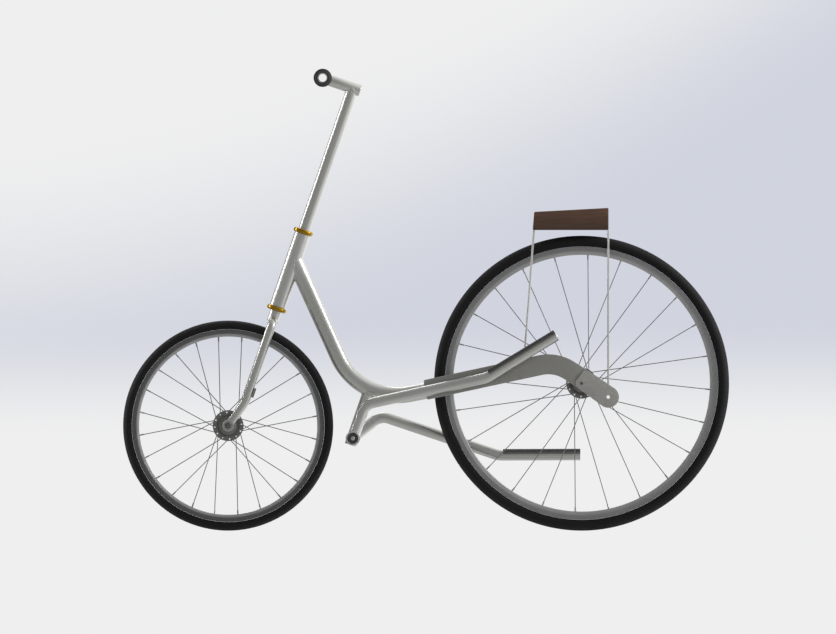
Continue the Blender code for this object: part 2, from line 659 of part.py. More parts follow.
def make_pivot_shaft(finishes, frame):
    """The cross tube through the post, its bolt and its end caps."""
    x, z = PIVOT[0], PIVOT[2]
    clearance = PIVOT_BOLT_R + GAP
    tube_end, bolt_end = PIVOT_TUBE_HALF_LENGTH, PIVOT_BOLT_HALF_LENGTH
    cross_rod("pivot_tube", x, z, (-tube_end, tube_end), PIVOT_TUBE_R, finishes["dark_steel"], frame,
              clearance)
    cross_rod("pivot_bolt", x, z, (-bolt_end, bolt_end), PIVOT_BOLT_R, finishes["bright_steel"], frame)
    for side_name, side in SIDES.items():
        cross_rod(f"{side_name}_pivot_cap", x, z, on_side(side, PIVOT_CAP_Y), PIVOT_CAP_R,
                  finishes["dark_steel"], frame, clearance)


def make_yoke(finishes, frame):
    """The plate that joins the two arms in front of the rear wheel."""
    along = Vector((cos(ARM_RISE), 0.0, sin(ARM_RISE)))
    width = 2 * (ARM_Y - ARM_THICKNESS / 2 - GAP)
    start = Vector(ARM_FRONT) + along * YOKE_GAP
    section = rectangle(width, ARM_HEIGHT - 2 * YOKE_MARGIN)
    sweep("yoke_plate", [start, start + along * YOKE_THICKNESS], section, finishes["arm_paint"], frame)


def make_arms(finishes, frame):
    """The two bent bars that carry the rear wheel, with their dropout plates and axle bolts."""
    x, z = REAR_WHEEL["centre"][0], REAR_WHEEL["centre"][2]
    axle_end = DROPOUT_Y[0] - GAP / 2
    axle_space = cross_cutter("rear_axle_space", x, z, (-axle_end, axle_end), AXLE_R + GAP, frame)
    bolt_space = cross_cutter("axle_bolt_space", x, z, CUTTER_SPAN, AXLE_BOLT_R + GAP, frame)
    hole_x, hole_z = HANGER_HOLE[0], HANGER_HOLE[2]
    hanger_space = cross_cutter("hanger_space", hole_x, hole_z, CUTTER_SPAN, HANGER_HOLE_R, frame)
    for side_name, side in SIDES.items():
        offset = Vector((0.0, side * ARM_Y, 0.0))
        corners = [Vector(point) + offset for point in (ARM_FRONT, ARM_CORNER, ARM_REAR)]
        section = rectangle(ARM_THICKNESS, ARM_HEIGHT)
        arm = sweep(f"{side_name}_arm", bent_path(corners, [ARM_BEND_R]), section, finishes["arm_paint"],
                    frame)
        cut(arm, axle_space)
        dropout = plate(f"{side_name}_dropout", dropout_outline(), *on_side(side, DROPOUT_Y),
                        finishes["plate_paint"], frame)
        cut(dropout, bolt_space, hanger_space)
        bolt_span = on_side(side, (DROPOUT_Y[0], DROPOUT_Y[1] + AXLE_BOLT_PROUD))
        cross_rod(f"{side_name}_axle_bolt", x, z, bolt_span, AXLE_BOLT_R, finishes["dark_steel"], frame)


def dropout_outline():
    """Outline of a dropout plate: a strip round the axle that ends in a round eye."""
    axle = (REAR_WHEEL["centre"][0], REAR_WHEEL["centre"][2])
    eye = (HANGER_HOLE[0], HANGER_HOLE[2])
    nose_steps, eye_steps = DROPOUT_ARC_STEPS
    nose = arc_points(axle, DROPOUT_NOSE_R, *DROPOUT_NOSE_ARC, nose_steps)
    round_eye = arc_points(eye, DROPOUT_END_R, *DROPOUT_EYE_ARC, eye_steps)
    return [DROPOUT_NOSE_TOP, *nose, *DROPOUT_LOWER_EDGE, *round_eye, *DROPOUT_UPPER_EDGE]


# ---- treadles --------------------------------------------------------------------------------
def lever_corners(y):
    """Pivot, bends and end of a lever in its own frame."""
    corners = [Vector((0.0, y, 0.0))]
    for length, rise in LEVER_SECTIONS:
        step = Vector((cos(radians(rise)), 0.0, sin(radians(rise)))) * length
        corners.append(corners[-1] + step)
    return corners


def make_treadle(side_name, finishes, frame):
    """A lever with its hub, bush and foot strip under an empty on the pivot."""
    side = SIDES[side_name]
    lean = 0.0 if side_name == "left" else LEVER_SWING
    axis = empty(f"{side_name}_treadle_axis", PIVOT, lean, frame)
    corners = lever_corners(side * LEVER_Y)
    lever = sweep(f"{side_name}_lever", bent_path(corners, LEVER_BEND_RADII), circle(LEVER_R),
                  finishes["tube_paint"], axis, circle(LEVER_BORE_R))
    cross_rod(f"{side_name}_lever_hub", 0.0, 0.0, on_side(side, LEVER_HUB_Y), LEVER_HUB_R,
              finishes["tube_paint"], axis, LEVER_HUB_BORE_R)
    hub_space = cross_cutter(f"{side_name}_lever_hub_space", 0.0, 0.0, CUTTER_SPAN, LEVER_HUB_R + GAP, axis)
    cut(lever, hub_space)
    bush_bore, bush_r = LEVER_BUSH_R
    cross_rod(f"{side_name}_lever_bush", 0.0, 0.0, on_side(side, LEVER_BUSH_Y), bush_r, finishes["bronze"],
              axis, bush_bore)
    make_foot_strip(f"{side_name}_foot_strip", corners, finishes["grip_rubber"], axis)


def make_foot_strip(name, corners, finish, axis):
    """A thin rubber strip round the top of the lever's foot section."""
    end = corners[-1]
    along = (end - corners[-2]).normalized()
    inner, outer = LEVER_R + GAP, LEVER_R + GAP + FOOT_STRIP_THICKNESS
    angles = [FOOT_STRIP_HALF_ANGLE * (2 * i / FOOT_STRIP_STEPS - 1) for i in range(FOOT_STRIP_STEPS + 1)]
    section = [(outer * sin(a), outer * cos(a)) for a in angles]
    section += [(inner * sin(a), inner * cos(a)) for a in reversed(angles)]
    sweep(name, [end - along * FOOT_STRIP_LENGTH, end], section, finish, axis)


# ---- seat block ------------------------------------------------------------------------------
def make_seat(finishes, frame):
    """The seat block and the four wire stays under it."""
    block = plate("seat_block", SEAT_OUTLINE, -SEAT_HALF_WIDTH, SEAT_HALF_WIDTH, finishes["wood"], frame)
    bevel = block.modifiers.new("soft_edges", "BEVEL")
    bevel.width = SEAT_EDGE_R
    bevel.segments = 2
    low, high = REAR_STAY_Z
    for side_name, side in SIDES.items():
        path = [Vector((x, side * FRONT_STAY_Y, z)) for x, z in FRONT_STAY]
        sweep(f"{side_name}_front_stay", path, circle(STAY_R, STAY_SIDES), finishes["tube_paint"], frame)
        y = side * REAR_STAY_Y
        rod(f"{side_name}_rear_stay", (REAR_STAY_X, y, low), (REAR_STAY_X, y, high), STAY_R,
            finishes["tube_paint"], frame, sides=STAY_SIDES)


# ---- the whole cycle -------------------------------------------------------------------------
def main():
    """Build every piece."""
    clear_scene()
    finishes = make_materials()
    frame = empty("frame_origin", (0.0, 0.0, 0.0))
    head_axis = empty("head_axis", STEERING_TOP, STEERING_LEAN, frame)
    steering_axis = empty("steering_axis", STEERING_TOP, STEERING_LEAN, frame)
    make_head(finishes, head_axis)
    make_headset_bearings(finishes, steering_axis)
    make_stem(finishes, steering_axis)
    make_fork(finishes, steering_axis)
    make_brake_tab(finishes, steering_axis)
    make_main_tube(finishes, frame, head_axis)
    make_pivot_post(finishes, frame)
    make_pivot_shaft(finishes, frame)
    make_yoke(finishes, frame)
    make_arms(finishes, frame)
    rear_hub = empty("rear_hub_centre", REAR_WHEEL["centre"], parent=frame)
    arm_inside = ARM_Y - ARM_THICKNESS / 2
    stepped_axle("rear_axle", DROPOUT_Y[0] - GAP, arm_inside - GAP, finishes["dark_steel"], rear_hub)
    make_wheel(FRONT_WHEEL, finishes, frame)
    make_wheel(REAR_WHEEL, finishes, frame)
    for side_name in SIDES:
        make_treadle(side_name, finishes, frame)
    make_seat(finishes, frame)


main()
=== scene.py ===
"""Looks of the stand-up treadle cycle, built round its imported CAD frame.

Metres, +Z up. The front points towards -X and the rider's left is -Y.
"""
import json
from math import acos, atan2, cos, pi, radians, sin, tan

import bmesh
import bpy
from mathutils import Matrix, Vector


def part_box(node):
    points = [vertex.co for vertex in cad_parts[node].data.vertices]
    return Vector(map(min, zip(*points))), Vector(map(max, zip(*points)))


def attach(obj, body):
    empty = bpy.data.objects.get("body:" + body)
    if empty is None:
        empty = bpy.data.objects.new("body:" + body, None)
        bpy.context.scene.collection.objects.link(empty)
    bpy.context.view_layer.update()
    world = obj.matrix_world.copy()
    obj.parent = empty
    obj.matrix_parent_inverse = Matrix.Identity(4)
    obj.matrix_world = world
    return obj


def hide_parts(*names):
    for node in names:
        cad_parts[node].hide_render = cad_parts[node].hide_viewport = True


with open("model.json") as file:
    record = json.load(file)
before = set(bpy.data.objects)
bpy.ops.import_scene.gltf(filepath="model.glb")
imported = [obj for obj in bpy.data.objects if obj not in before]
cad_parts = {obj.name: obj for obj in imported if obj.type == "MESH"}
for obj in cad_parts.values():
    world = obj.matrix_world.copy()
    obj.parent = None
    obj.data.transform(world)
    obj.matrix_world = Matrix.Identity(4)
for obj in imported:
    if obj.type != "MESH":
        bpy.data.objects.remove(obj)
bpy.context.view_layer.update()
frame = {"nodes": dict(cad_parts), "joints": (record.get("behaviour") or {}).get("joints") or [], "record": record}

# ---- places read from the frame ----------------------------------------------------------------
RECORD = frame["record"]
BODY_OF = {node: body for body, nodes in RECORD["behaviour"]["bodies"].items() for node in nodes}
SLOT_OF = {row["node"]: row["material_slot"] for row in RECORD["subparts"]}
JOINTS = {joint["name"]: joint for joint in frame["joints"]}
STEERING_TOP = Vector(JOINTS["steering"]["pos_m"])
STEERING_LEAN = atan2(JOINTS["steering"]["axis"][0], JOINTS["steering"]["axis"][2])
FRONT_HUB = Vector(JOINTS["front_wheel_spin"]["pos_m"])
REAR_HUB = Vector(JOINTS["rear_wheel_spin"]["pos_m"])
PIVOT = Vector(JOINTS["left_treadle_swing"]["pos_m"])
STEERING = Matrix.Translation(STEERING_TOP) @ Matrix.Rotation(STEERING_LEAN, 4, "Y")
FORK_HUB = STEERING.inverted() @ FRONT_HUB
LEVER_SWING = radians(JOINTS["left_treadle_swing"]["range_deg"][1])
SIDES = {"left": -1, "right": 1}


def height(node):
    """A CAD node's height."""
    low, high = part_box(node)
    return high.z - low.z


def reach(node):
    """How far a CAD node reaches from the middle of the cycle, sideways: (nearest, furthest)."""
    low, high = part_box(node)
    return tuple(sorted((abs(low.y), abs(high.y))))


# ---- sizes that repeat the CAD's ---------------------------------------------------------------
GAP = 0.0003
WHEELS = {
    "front": {"hub": FRONT_HUB, "tyre_r": height("front_tyre") / 2, "rim_r": height("front_rim") / 2,
              "inner_r": 0.2088, "shoulder_r": 0.2140, "first_spoke": 6.2, "valve": 65.0},
    "rear": {"hub": REAR_HUB, "tyre_r": height("rear_tyre") / 2, "rim_r": height("rear_rim") / 2,
             "inner_r": 0.3010, "shoulder_r": 0.3095, "first_spoke": 27.2, "valve": 180.0},
}
TYRE_HALF_WIDTH = 0.0165
TYRE_WALL = 0.0028
TYRE_CENTRE_DROP = 0.0015
TYRE_BEAD_ANGLE = radians(42.0)
RIM_HALF_WIDTH = reach("front_rim")[1]
RIM_INNER_HALF_WIDTH = 0.0075
FLANGE_R = 0.0363
FLANGE_Y = 0.0280
FLANGE_THICKNESS = 0.0034
HUB_R = 0.0168
HUB_WAIST_R = 0.0128
HUB_HALF_LENGTH = reach("front_hub")[1]
BEARING_R = 0.0130
BEARING_WIDTH = 0.0080
SPOKE_HOLE_R = 0.0313
SPOKE_R = 0.0010
SPOKES_PER_SIDE = 12
SPOKE_RIM_Y = 0.0030
SPOKE_LEAN = {-1: 30.0, 1: 41.0}
AXLE_R = 0.0050
AXLE_SHOULDER_R = 0.0080

STEERER_R = 0.0135
STEERER_BORE_R = 0.0116
STEERER_DROP = 0.2150
HEAD_TUBE_R = 0.0192
HEAD_TUBE_BORE_R = 0.0170
HEADSET_SPACING = 0.1914
HEADSET_R = 0.0237
HEADSET_HALF_HEIGHT = 0.0053
HEADSET_BULGE = 0.0042
HEADSET_LIP_R = 0.0142
HEADSET_SEAT_R = 0.0182
HEADSET_FLOOR = 0.0020
EXTENSION_HEIGHT = 0.3558
EXTENSION_R = 0.0135
EXTENSION_BACK = 0.0190
BAR_REACH = 0.0745
BAR_R = 0.0111
BAR_BORE_R = 0.0092
BAR_HALF_WIDTH = reach("handlebar")[1]
GRIP_START, GRIP_END = reach("left_grip")
GRIP_R = 0.0165
GRIP_FLANGE_R = 0.0215
CROWN_DROP = 0.2225
CROWN_HALF_WIDTH = reach("fork_crown")[1]
BLADE_R = 0.0108
BLADE_BORE_R = 0.0091
BLADE_BACK = 0.0009
BLADE_TOP_Y = 0.0390
BLADE_BEND_DROP = 0.4229
BLADE_BEND_RADII = (0.0220, 0.0600)
FORK_END_R = 0.01385
BLADE_TAIL_STEPS = 24
BLADE_PRESS = (0.060, 0.22, 0.62)
FORK_END_Y = reach("left_fork_end")
NUT_CORNER_R = 0.0075
NUT_Y = reach("left_front_axle_nut")
BRAKE_TAB_CENTRE = Vector((-0.4036, -0.0460, 0.3229))
BRAKE_TAB_SIZE = (0.0100, 0.0040, 0.0230)

MAIN_TUBE_R = 0.0190
MAIN_TUBE_BORE_R = 0.0172
MAIN_TUBE_CORNERS = ((-0.3100, 0.0, 0.6375), (-0.1566, 0.0, 0.2981), (-0.0007, 0.0, 0.3279))
MAIN_TUBE_BEND_R = 0.1530
ARM_CORNERS = ((-0.0007, 0.3303), (0.3042, 0.3962), (0.3922, 0.3396))
ARM_BEND_R = 0.0900
ARM_RISE = radians(12.2)
ARM_HEIGHT = 0.0470
ARM_Y = sum(reach("left_arm")) / 2
ARM_THICKNESS = reach("left_arm")[1] - reach("left_arm")[0]
YOKE_GAP = 0.0015
YOKE_THICKNESS = 0.0080
YOKE_MARGIN = 0.0010
DROPOUT_Y = reach("left_dropout")
DROPOUT_END_R = 0.0252
DROPOUT_NOSE_R = 0.0145
HANGER_HOLE = (0.4273, 0.3136)
HANGER_HOLE_R = 0.0040
AXLE_BOLT_R = 0.0033
POST_LEAN = radians(19.0)
POST_R = 0.0143
POST_BORE_R = 0.0125
POST_BELOW_PIVOT = 0.0165
PIVOT_TUBE_R = 0.0120
PIVOT_TUBE_END = reach("pivot_tube")[1]
PIVOT_BOLT_R = 0.0050
PIVOT_BOLT_END = reach("pivot_bolt")[1]
PIVOT_CAP_R = 0.0129
PIVOT_CAP_Y = reach("left_pivot_cap")

LEVER_Y = 0.0780
LEVER_R = 0.0127
LEVER_BORE_R = 0.0110
LEVER_HUB_R = 0.0170
LEVER_HUB_BORE_R = 0.0134
LEVER_HUB_Y = reach("left_lever_hub")
LEVER_SECTIONS = ((0.0844, 70.0), (0.2906, 12.4), (0.1928, 31.2))
LEVER_BEND_RADII = (0.0380, 0.0600)
FOOT_STRIP_LENGTH = 0.1820
FOOT_STRIP_THICKNESS = 0.0016
FOOT_STRIP_HALF_ANGLE = radians(78.0)

SEAT_OUTLINE = ((0.2500, 0.7052), (0.4280, 0.7052), (0.4280, 0.7573), (0.2535, 0.7480))
SEAT_HALF_WIDTH = reach("seat_block")[1]
STAY_R = 0.0024
FRONT_STAY = ((0.2300, 0.4056), (0.2320, 0.4297), (0.2530, 0.7048))
FRONT_STAY_Y = 0.0520
REAR_STAY_X = 0.4274
REAR_STAY_Z = (0.3240, 0.7048)
REAR_STAY_Y = 0.0555

# ---- sizes of the finer detail -----------------------------------------------------------------
TUBE_SIDES = 48
WHEEL_STEPS = 240
BEND_STEP = radians(3.0)
SHARP_EDGE = radians(40.0)
EDGE = 0.0005                     # rounding of a cut tube's end
COPE_STEP = 0.0015
COPE_STEPS = 120
COPE_HALVINGS = 12
UNPRESSED = (1.0, 0.0, 0.0)
WELD_R = 0.0013
THIN_WELD_R = 0.0010
WELD_SIDES = 10
WELD_SWELL = 0.10
WELD_SPACING = 0.0006
WELD_RIPPLE = 0.0026
TREAD_PITCH = 0.0120
TREAD_DEPTH = 0.0007
TREAD_GROOVES = (0.0042, 0.0084)
TREAD_GROOVE_HALF_WIDTH = 0.0008
TREAD_START = 0.45                # sine of the angle at which the tread starts
TREAD_CUT_Y = (0.0092, 0.0138)
TREAD_CUT_STATIONS = ((0.0, 1.0), (0.09, 1.0), (0.13, 0.0), (0.96, 0.0))
CASING_STEPS = 72
TRACK_GROOVE_PITCH = 0.0022
TRACK_GROOVE_DEPTH = 0.00018
SPOKE_HEAD_STATIONS = ((-0.0006, 0.0017), (0.0, 0.0021), (0.0005, 0.0020), (0.0009, 0.0013),
                       (0.0011, 0.0005))
SPOKE_ELBOW_STATIONS = ((-SPOKE_R, 0.0015), (SPOKE_R - 0.0002, 0.0016), (SPOKE_R + 0.0002, 0.0010))
SPOKE_ELBOW_BEND_R = 0.0022
NIPPLE_STATIONS = ((-0.0010, 0.0023), (0.0016, 0.0023), (0.0022, 0.0019), (0.0096, 0.0018),
                   (0.0120, 0.0015), (0.0124, 0.0012))
VALVE_STATIONS = ((0.0, 0.0018), (0.0006, 0.0026), (0.0095, 0.0026), (0.0100, 0.0021),
                  (0.0125, 0.0021), (0.0130, 0.0030), (0.0300, 0.0034), (0.0365, 0.0034))
VALVE_DROP = 0.0340
GRIP_RING_PITCH = 0.0050
GRIP_RING_DEPTH = 0.0008
FOOT_RIB_PITCH = 0.0045
WIRE_EASE = 0.0005
WIRE_SIDES = 20


# ---- node materials ----------------------------------------------------------------------------
def feed(tree, socket, value):
    """Links a socket to another node's output, or sets it to a constant."""
    if isinstance(value, bpy.types.NodeSocket):
        tree.links.new(value, socket)
    else:
        socket.default_value = value


def add_node(tree, kind, settings=None, **sockets):
    """A shader node with its settings, each named socket linked or set."""
    made = tree.nodes.new(f"ShaderNode{kind}")
    for key, value in (settings or {}).items():
        setattr(made, key, value)
    for key, value in sockets.items():
        feed(tree, made.inputs[key.replace("_", " ")], value)
    return made


def maths(tree, operation, *values):
    """The result of one sum on numbers or other nodes' outputs."""
    made = add_node(tree, "Math", {"operation": operation})
    for socket, value in zip(made.inputs, values):
        feed(tree, socket, value)
    return made.outputs["Value"]


def share_between(tree, value, start, end, **settings):
    """0 where a value is at the start and 1 where it is at the end."""
    made = add_node(tree, "MapRange", settings, Value=value, From_Min=start, From_Max=end)
    return made.outputs["Result"]


def own_place(tree):
    """The piece's own coordinates."""
    return add_node(tree, "TexCoord").outputs["Object"]


def ramp(tree, factor, stops):
    """A colour ramp from stops of (position, grey or colour)."""
    made = add_node(tree, "ValToRGB", Fac=factor)
    elements = made.color_ramp.elements
    while len(elements) < len(stops):
        elements.new(0.5)
    for element, (position, tone) in zip(elements, stops):
        colour = tone if isinstance(tone, tuple) else (tone, tone, tone)
        element.position = position
        element.color = (*colour, 1.0)
    return made.outputs["Color"]


def mix(tree, factor, first, second, blend="MIX"):
    """Two colours mixed by a factor."""
    made = add_node(tree, "Mix", {"data_type": "RGBA", "blend_type": blend})
    factor_socket, first_socket, second_socket = made.inputs[0], made.inputs[6], made.inputs[7]
    feed(tree, factor_socket, factor)
    for socket, value in ((first_socket, first), (second_socket, second)):
        feed(tree, socket, (*value, 1.0) if isinstance(value, tuple) else value)
    return made.outputs[2]


def patches(tree, pattern, low, high):
    """A tone or colour that goes from low to high across the middle of a noise pattern."""
    return ramp(tree, pattern, [(0.3, low), (0.7, high)])


def surface_input(tree, name):
    """A socket of the surface's shader."""
    return tree.nodes["Principled BSDF"].inputs[name]


def colour_surface(tree, colour, uneven):
    """Gives the surface a colour, darkened by an uneven pattern."""
    feed(tree, surface_input(tree, "Base Color"), mix(tree, 1.0, colour, uneven, "MULTIPLY"))


def emboss(tree, relief, depth):
    """Bumps the surface by a relief of the given depth."""
    bump = add_node(tree, "Bump", Strength=1.0, Distance=depth, Height=relief)
    feed(tree, surface_input(tree, "Normal"), bump.outputs["Normal"])


def noise(tree, scale, stretch=(1.0, 1.0, 1.0), detail=3.0):
    """Noise in the piece's own coordinates, in waves per metre along each axis."""
    waves = [scale * part for part in stretch]
    place = add_node(tree, "Mapping", Vector=own_place(tree), Scale=waves).outputs["Vector"]
    return add_node(tree, "TexNoise", Vector=place, Scale=1.0, Detail=detail).outputs["Fac"]


def turning_marks(tree, axis, per_metre):
    """Fine circles round an axis of the piece's own, as a lathe leaves them."""
    rings = {"wave_type": "RINGS", "rings_direction": axis}
    wave = add_node(tree, "TexWave", rings, Vector=own_place(tree), Scale=per_metre,
                    Distortion=0.6, Detail=2.0)
    return wave.outputs["Fac"]


def distance_from_origin(tree, near, far):
    """0 at one distance from the piece's origin and 1 at another."""
    length = add_node(tree, "VectorMath", {"operation": "LENGTH"}, Vector=own_place(tree))
    return share_between(tree, length.outputs["Value"], near, far)


def worn_edges(tree, start, end):
    """0 on flat ground and 1 on a sharp outer edge."""
    return share_between(tree, add_node(tree, "NewGeometry").outputs["Pointiness"], start, end)


def shade(colour, amount):
    """A colour made darker or lighter."""
    return tuple(min(1.0, part * amount) for part in colour)


def finish(name, colour, roughness, metallic, spread=0.06, blotch=14.0, grain=900.0,
           grain_depth=0.00003, stretch=(1.0, 1.0, 1.0), wear=None, coat=0.0, marks=None, specular=0.5):
    """A surface with slow colour changes, fine grain, worn edges and, if asked, turning marks."""
    made = bpy.data.materials.new(name)
    made.use_nodes = True
    tree = made.node_tree
    levels = {"Metallic": metallic, "Coat Weight": coat, "Coat Roughness": 0.12,
              "Specular IOR Level": specular}
    for socket_name, level in levels.items():
        surface_input(tree, socket_name).default_value = level
    slow = noise(tree, blotch, stretch)
    relief = noise(tree, grain, stretch, 2.0)
    base = patches(tree, slow, shade(colour, 1.0 - spread), shade(colour, 1.0 + spread))
    if marks:
        relief = mix(tree, 0.6, relief, turning_marks(tree, *marks))
    if wear:
        base = mix(tree, worn_edges(tree, 0.53, 0.60), base, wear)
    feed(tree, surface_input(tree, "Base Color"), base)
    feed(tree, surface_input(tree, "Roughness"), patches(tree, slow, roughness * 0.92, roughness * 1.08))
    emboss(tree, relief, grain_depth)
    return made


def radial_finish(name, stops, near, far, roughness, metallic, rings, ring_depth, specular=0.5):
    """A wheel's surface, toned by its distance from the hub, with fine rings."""
    made = finish(name, (0.5, 0.5, 0.5), roughness, metallic, spread=0.05, grain=700.0, specular=specular)
    tree = made.node_tree
    tone = ramp(tree, distance_from_origin(tree, near, far), stops)
    colour_surface(tree, tone, patches(tree, noise(tree, 25.0), 0.92, 1.0))
    emboss(tree, mix(tree, 0.5, noise(tree, 900.0), turning_marks(tree, "Y", rings)), ring_depth)
    return made


def wood_finish():
    """Dark stained wood with long fine grain along X, with painted light from above that makes it paler towards
    its top.
    """
    made = finish("stained_wood", (0.075, 0.047, 0.036), 0.62, 0.0, spread=0.10, blotch=9.0,
                  grain=420.0, grain_depth=0.00012, stretch=(0.05, 1.0, 1.0), specular=0.35)
    tree = made.node_tree
    streaks = [(0.30, (0.070, 0.034, 0.021)), (0.55, (0.100, 0.052, 0.033)), (0.75, (0.125, 0.068, 0.046))]
    fine = ramp(tree, noise(tree, 520.0, (0.03, 0.8, 1.0), 4.0), streaks)
    broad = patches(tree, noise(tree, 60.0, (0.06, 1.0, 1.0)), 0.84, 1.0)
    stained = mix(tree, 1.0, fine, broad, "MULTIPLY")
    # painted light from above: the block's colour grows paler from its bottom to its top
    upwards = add_node(tree, "SeparateXYZ", Vector=own_place(tree)).outputs["Z"]
    level = share_between(tree, upwards, -0.022, 0.026)
    colour_surface(tree, stained, ramp(tree, level, [(0.0, 0.58), (0.5, 0.76), (1.0, 1.05)]))
    return made


def foot_rubber_painted_shade_finish():
    """Dark rubber on top of a foot section, with painted shading by facing: darkest where it faces up and paler
    towards the strip's lower edges.
    """
    made = finish("foot_rubber_painted_shade", (0.05, 0.05, 0.05), 0.60, 0.0, grain=1300.0,
                  grain_depth=0.00006, specular=0.3)
    tree = made.node_tree
    facing = add_node(tree, "SeparateXYZ", Vector=add_node(tree, "TexCoord").outputs["Normal"])
    # painted shading: the rubber's tone follows which way its surface faces, darkest on top and paler towards its
    # lower edges
    upwards = share_between(tree, facing.outputs["Z"], 0.15, 0.95)
    tones = [(0.0, (0.120, 0.119, 0.112)), (0.45, (0.058, 0.057, 0.054)), (0.85, (0.020, 0.020, 0.019))]
    painted_shade_tone = ramp(tree, upwards, tones)
    colour_surface(tree, painted_shade_tone, patches(tree, noise(tree, 60.0), 0.86, 1.0))
    return made


def make_paints():
    """The painted parts' finishes, by record slot."""
    return {
        "tube_paint": finish("silver_paint", (0.50, 0.50, 0.475), 0.30, 0.87, spread=0.03, blotch=10.0,
                             grain=1400.0, grain_depth=0.000012, wear=(0.60, 0.60, 0.58), coat=0.25),
        "arm_paint": finish("dark_warm_grey_paint", (0.190, 0.188, 0.172), 0.50, 0.15, blotch=22.0,
                            grain=600.0, stretch=(0.25, 1.0, 1.0), wear=(0.26, 0.26, 0.25)),
        "plate_paint": finish("mid_warm_grey_paint", (0.262, 0.258, 0.240), 0.48, 0.20, spread=0.05,
                              blotch=40.0, grain=800.0, wear=(0.33, 0.33, 0.31)),
    }


def make_metals():
    """The bare metals, by record slot or by their own name."""
    return {
        "brass": finish("brushed_brass", (0.37, 0.215, 0.016), 0.24, 0.95, spread=0.10, blotch=60.0,
                        grain=1500.0, grain_depth=0.000006, wear=(0.55, 0.38, 0.10)),
        "bright_steel": finish("turned_bright_steel", (0.56, 0.56, 0.55), 0.27, 1.0, spread=0.04,
                               blotch=50.0, grain=1300.0, grain_depth=0.0000004),
        "dark_steel": finish("blackened_steel", (0.080, 0.080, 0.078), 0.42, 0.70, spread=0.12,
                             blotch=90.0, grain=1100.0, wear=(0.20, 0.20, 0.195)),
        "bronze": finish("oiled_bronze", (0.35, 0.20, 0.08), 0.38, 0.95, spread=0.10, blotch=70.0,
                         grain=1200.0, marks=("Y", 600.0)),
        "black_steel": finish("black_oxide_steel", (0.045, 0.045, 0.044), 0.42, 0.50, spread=0.12,
                              blotch=90.0, grain=1100.0),
        "hub_grey": finish("anodised_dark_grey", (0.150, 0.150, 0.143), 0.36, 0.65, spread=0.08,
                           blotch=70.0, grain=1100.0, wear=(0.20, 0.20, 0.19), marks=("Y", 420.0)),
        "stay_steel": finish("satin_stay_wire", (0.45, 0.45, 0.43), 0.34, 0.35, spread=0.04,
                             blotch=30.0, grain=1500.0, grain_depth=0.00001, coat=0.2),
        "nipple_brass": finish("plated_nipple", (0.34, 0.34, 0.33), 0.34, 0.95, spread=0.08,
                               blotch=200.0, grain=1800.0, grain_depth=0.00001),
        # painted glint: the spoke heads and elbow collars are near-white, standing in for the highlights on them
        "spoke_head": finish("spoke_head_painted_glint", (0.88, 0.88, 0.86), 0.30, 0.25, spread=0.05,
                             blotch=200.0, grain=1800.0, grain_depth=0.00001),
    }


def make_soft_finishes():
    """The rubbers and the wood, by record slot or by their own name."""
    return {
        "grip_rubber": finish("matt_black_rubber", (0.030, 0.031, 0.028), 0.78, 0.0, spread=0.12,
                              blotch=60.0, grain=1600.0, grain_depth=0.00010, specular=0.3),
        "foot_rubber": foot_rubber_painted_shade_finish(),
        "valve_black": finish("valve_rubber", (0.022, 0.022, 0.022), 0.6, 0.0, spread=0.1,
                              blotch=150.0, grain=1600.0),
        "wood": wood_finish(),
    }


def make_wheel_finishes():
    """The spokes' finish, and each wheel's own tyre and rim, toned from the hub outwards."""
    near_flange, past_flange = SPOKE_HOLE_R - 0.0030, SPOKE_HOLE_R + 0.0030
    # painted glint: each spoke wire is toned near-white close to the flange, where its elbow catches the light,
    # and dark further out
    spoke_painted_glint_tones = [(0.0, 0.80), (0.55, 0.80), (0.75, 0.16), (1.0, 0.16)]
    # painted highlight: each tyre's side is toned paler from the rim out towards the tread
    tyre_painted_highlight_tones = [(0.0, 0.0040), (0.35, 0.0055), (0.75, 0.0100), (1.0, 0.0120)]
    # painted sheen and shade: each rim's sloped inner band is toned paler, standing in for its reflection, and the
    # flange's outer edge is toned darker to hide its highlight
    rim_painted_sheen_and_shade_tones = {"front": [(0.0, 0.36), (0.33, 0.29), (0.50, 0.108), (0.92, 0.105), (0.96, 0.05)],
                 "rear": [(0.0, 0.38), (0.38, 0.30), (0.58, 0.225), (0.92, 0.22), (0.96, 0.13)]}
    finishes = {"spoke_steel": radial_finish("spoke_wire", spoke_painted_glint_tones, near_flange, past_flange,
                                             0.38, 0.45, 300.0, 0.000002)}
    for name, wheel in WHEELS.items():
        finishes[f"{name}_tyre"] = radial_finish(f"{name}_tyre_rubber", tyre_painted_highlight_tones, wheel["rim_r"],
                                                 wheel["tyre_r"], 0.72, 0.0, 330.0, 0.00012, specular=0.22)
        finishes[f"{name}_rim"] = radial_finish(f"{name}_rim_anodised_painted_sheen", rim_painted_sheen_and_shade_tones[name], wheel["inner_r"],
                                                wheel["rim_r"], 0.36, 0.55, 520.0, 0.00003)
    return finishes


FINISHES = {**make_paints(), **make_metals(), **make_soft_finishes(), **make_wheel_finishes()}


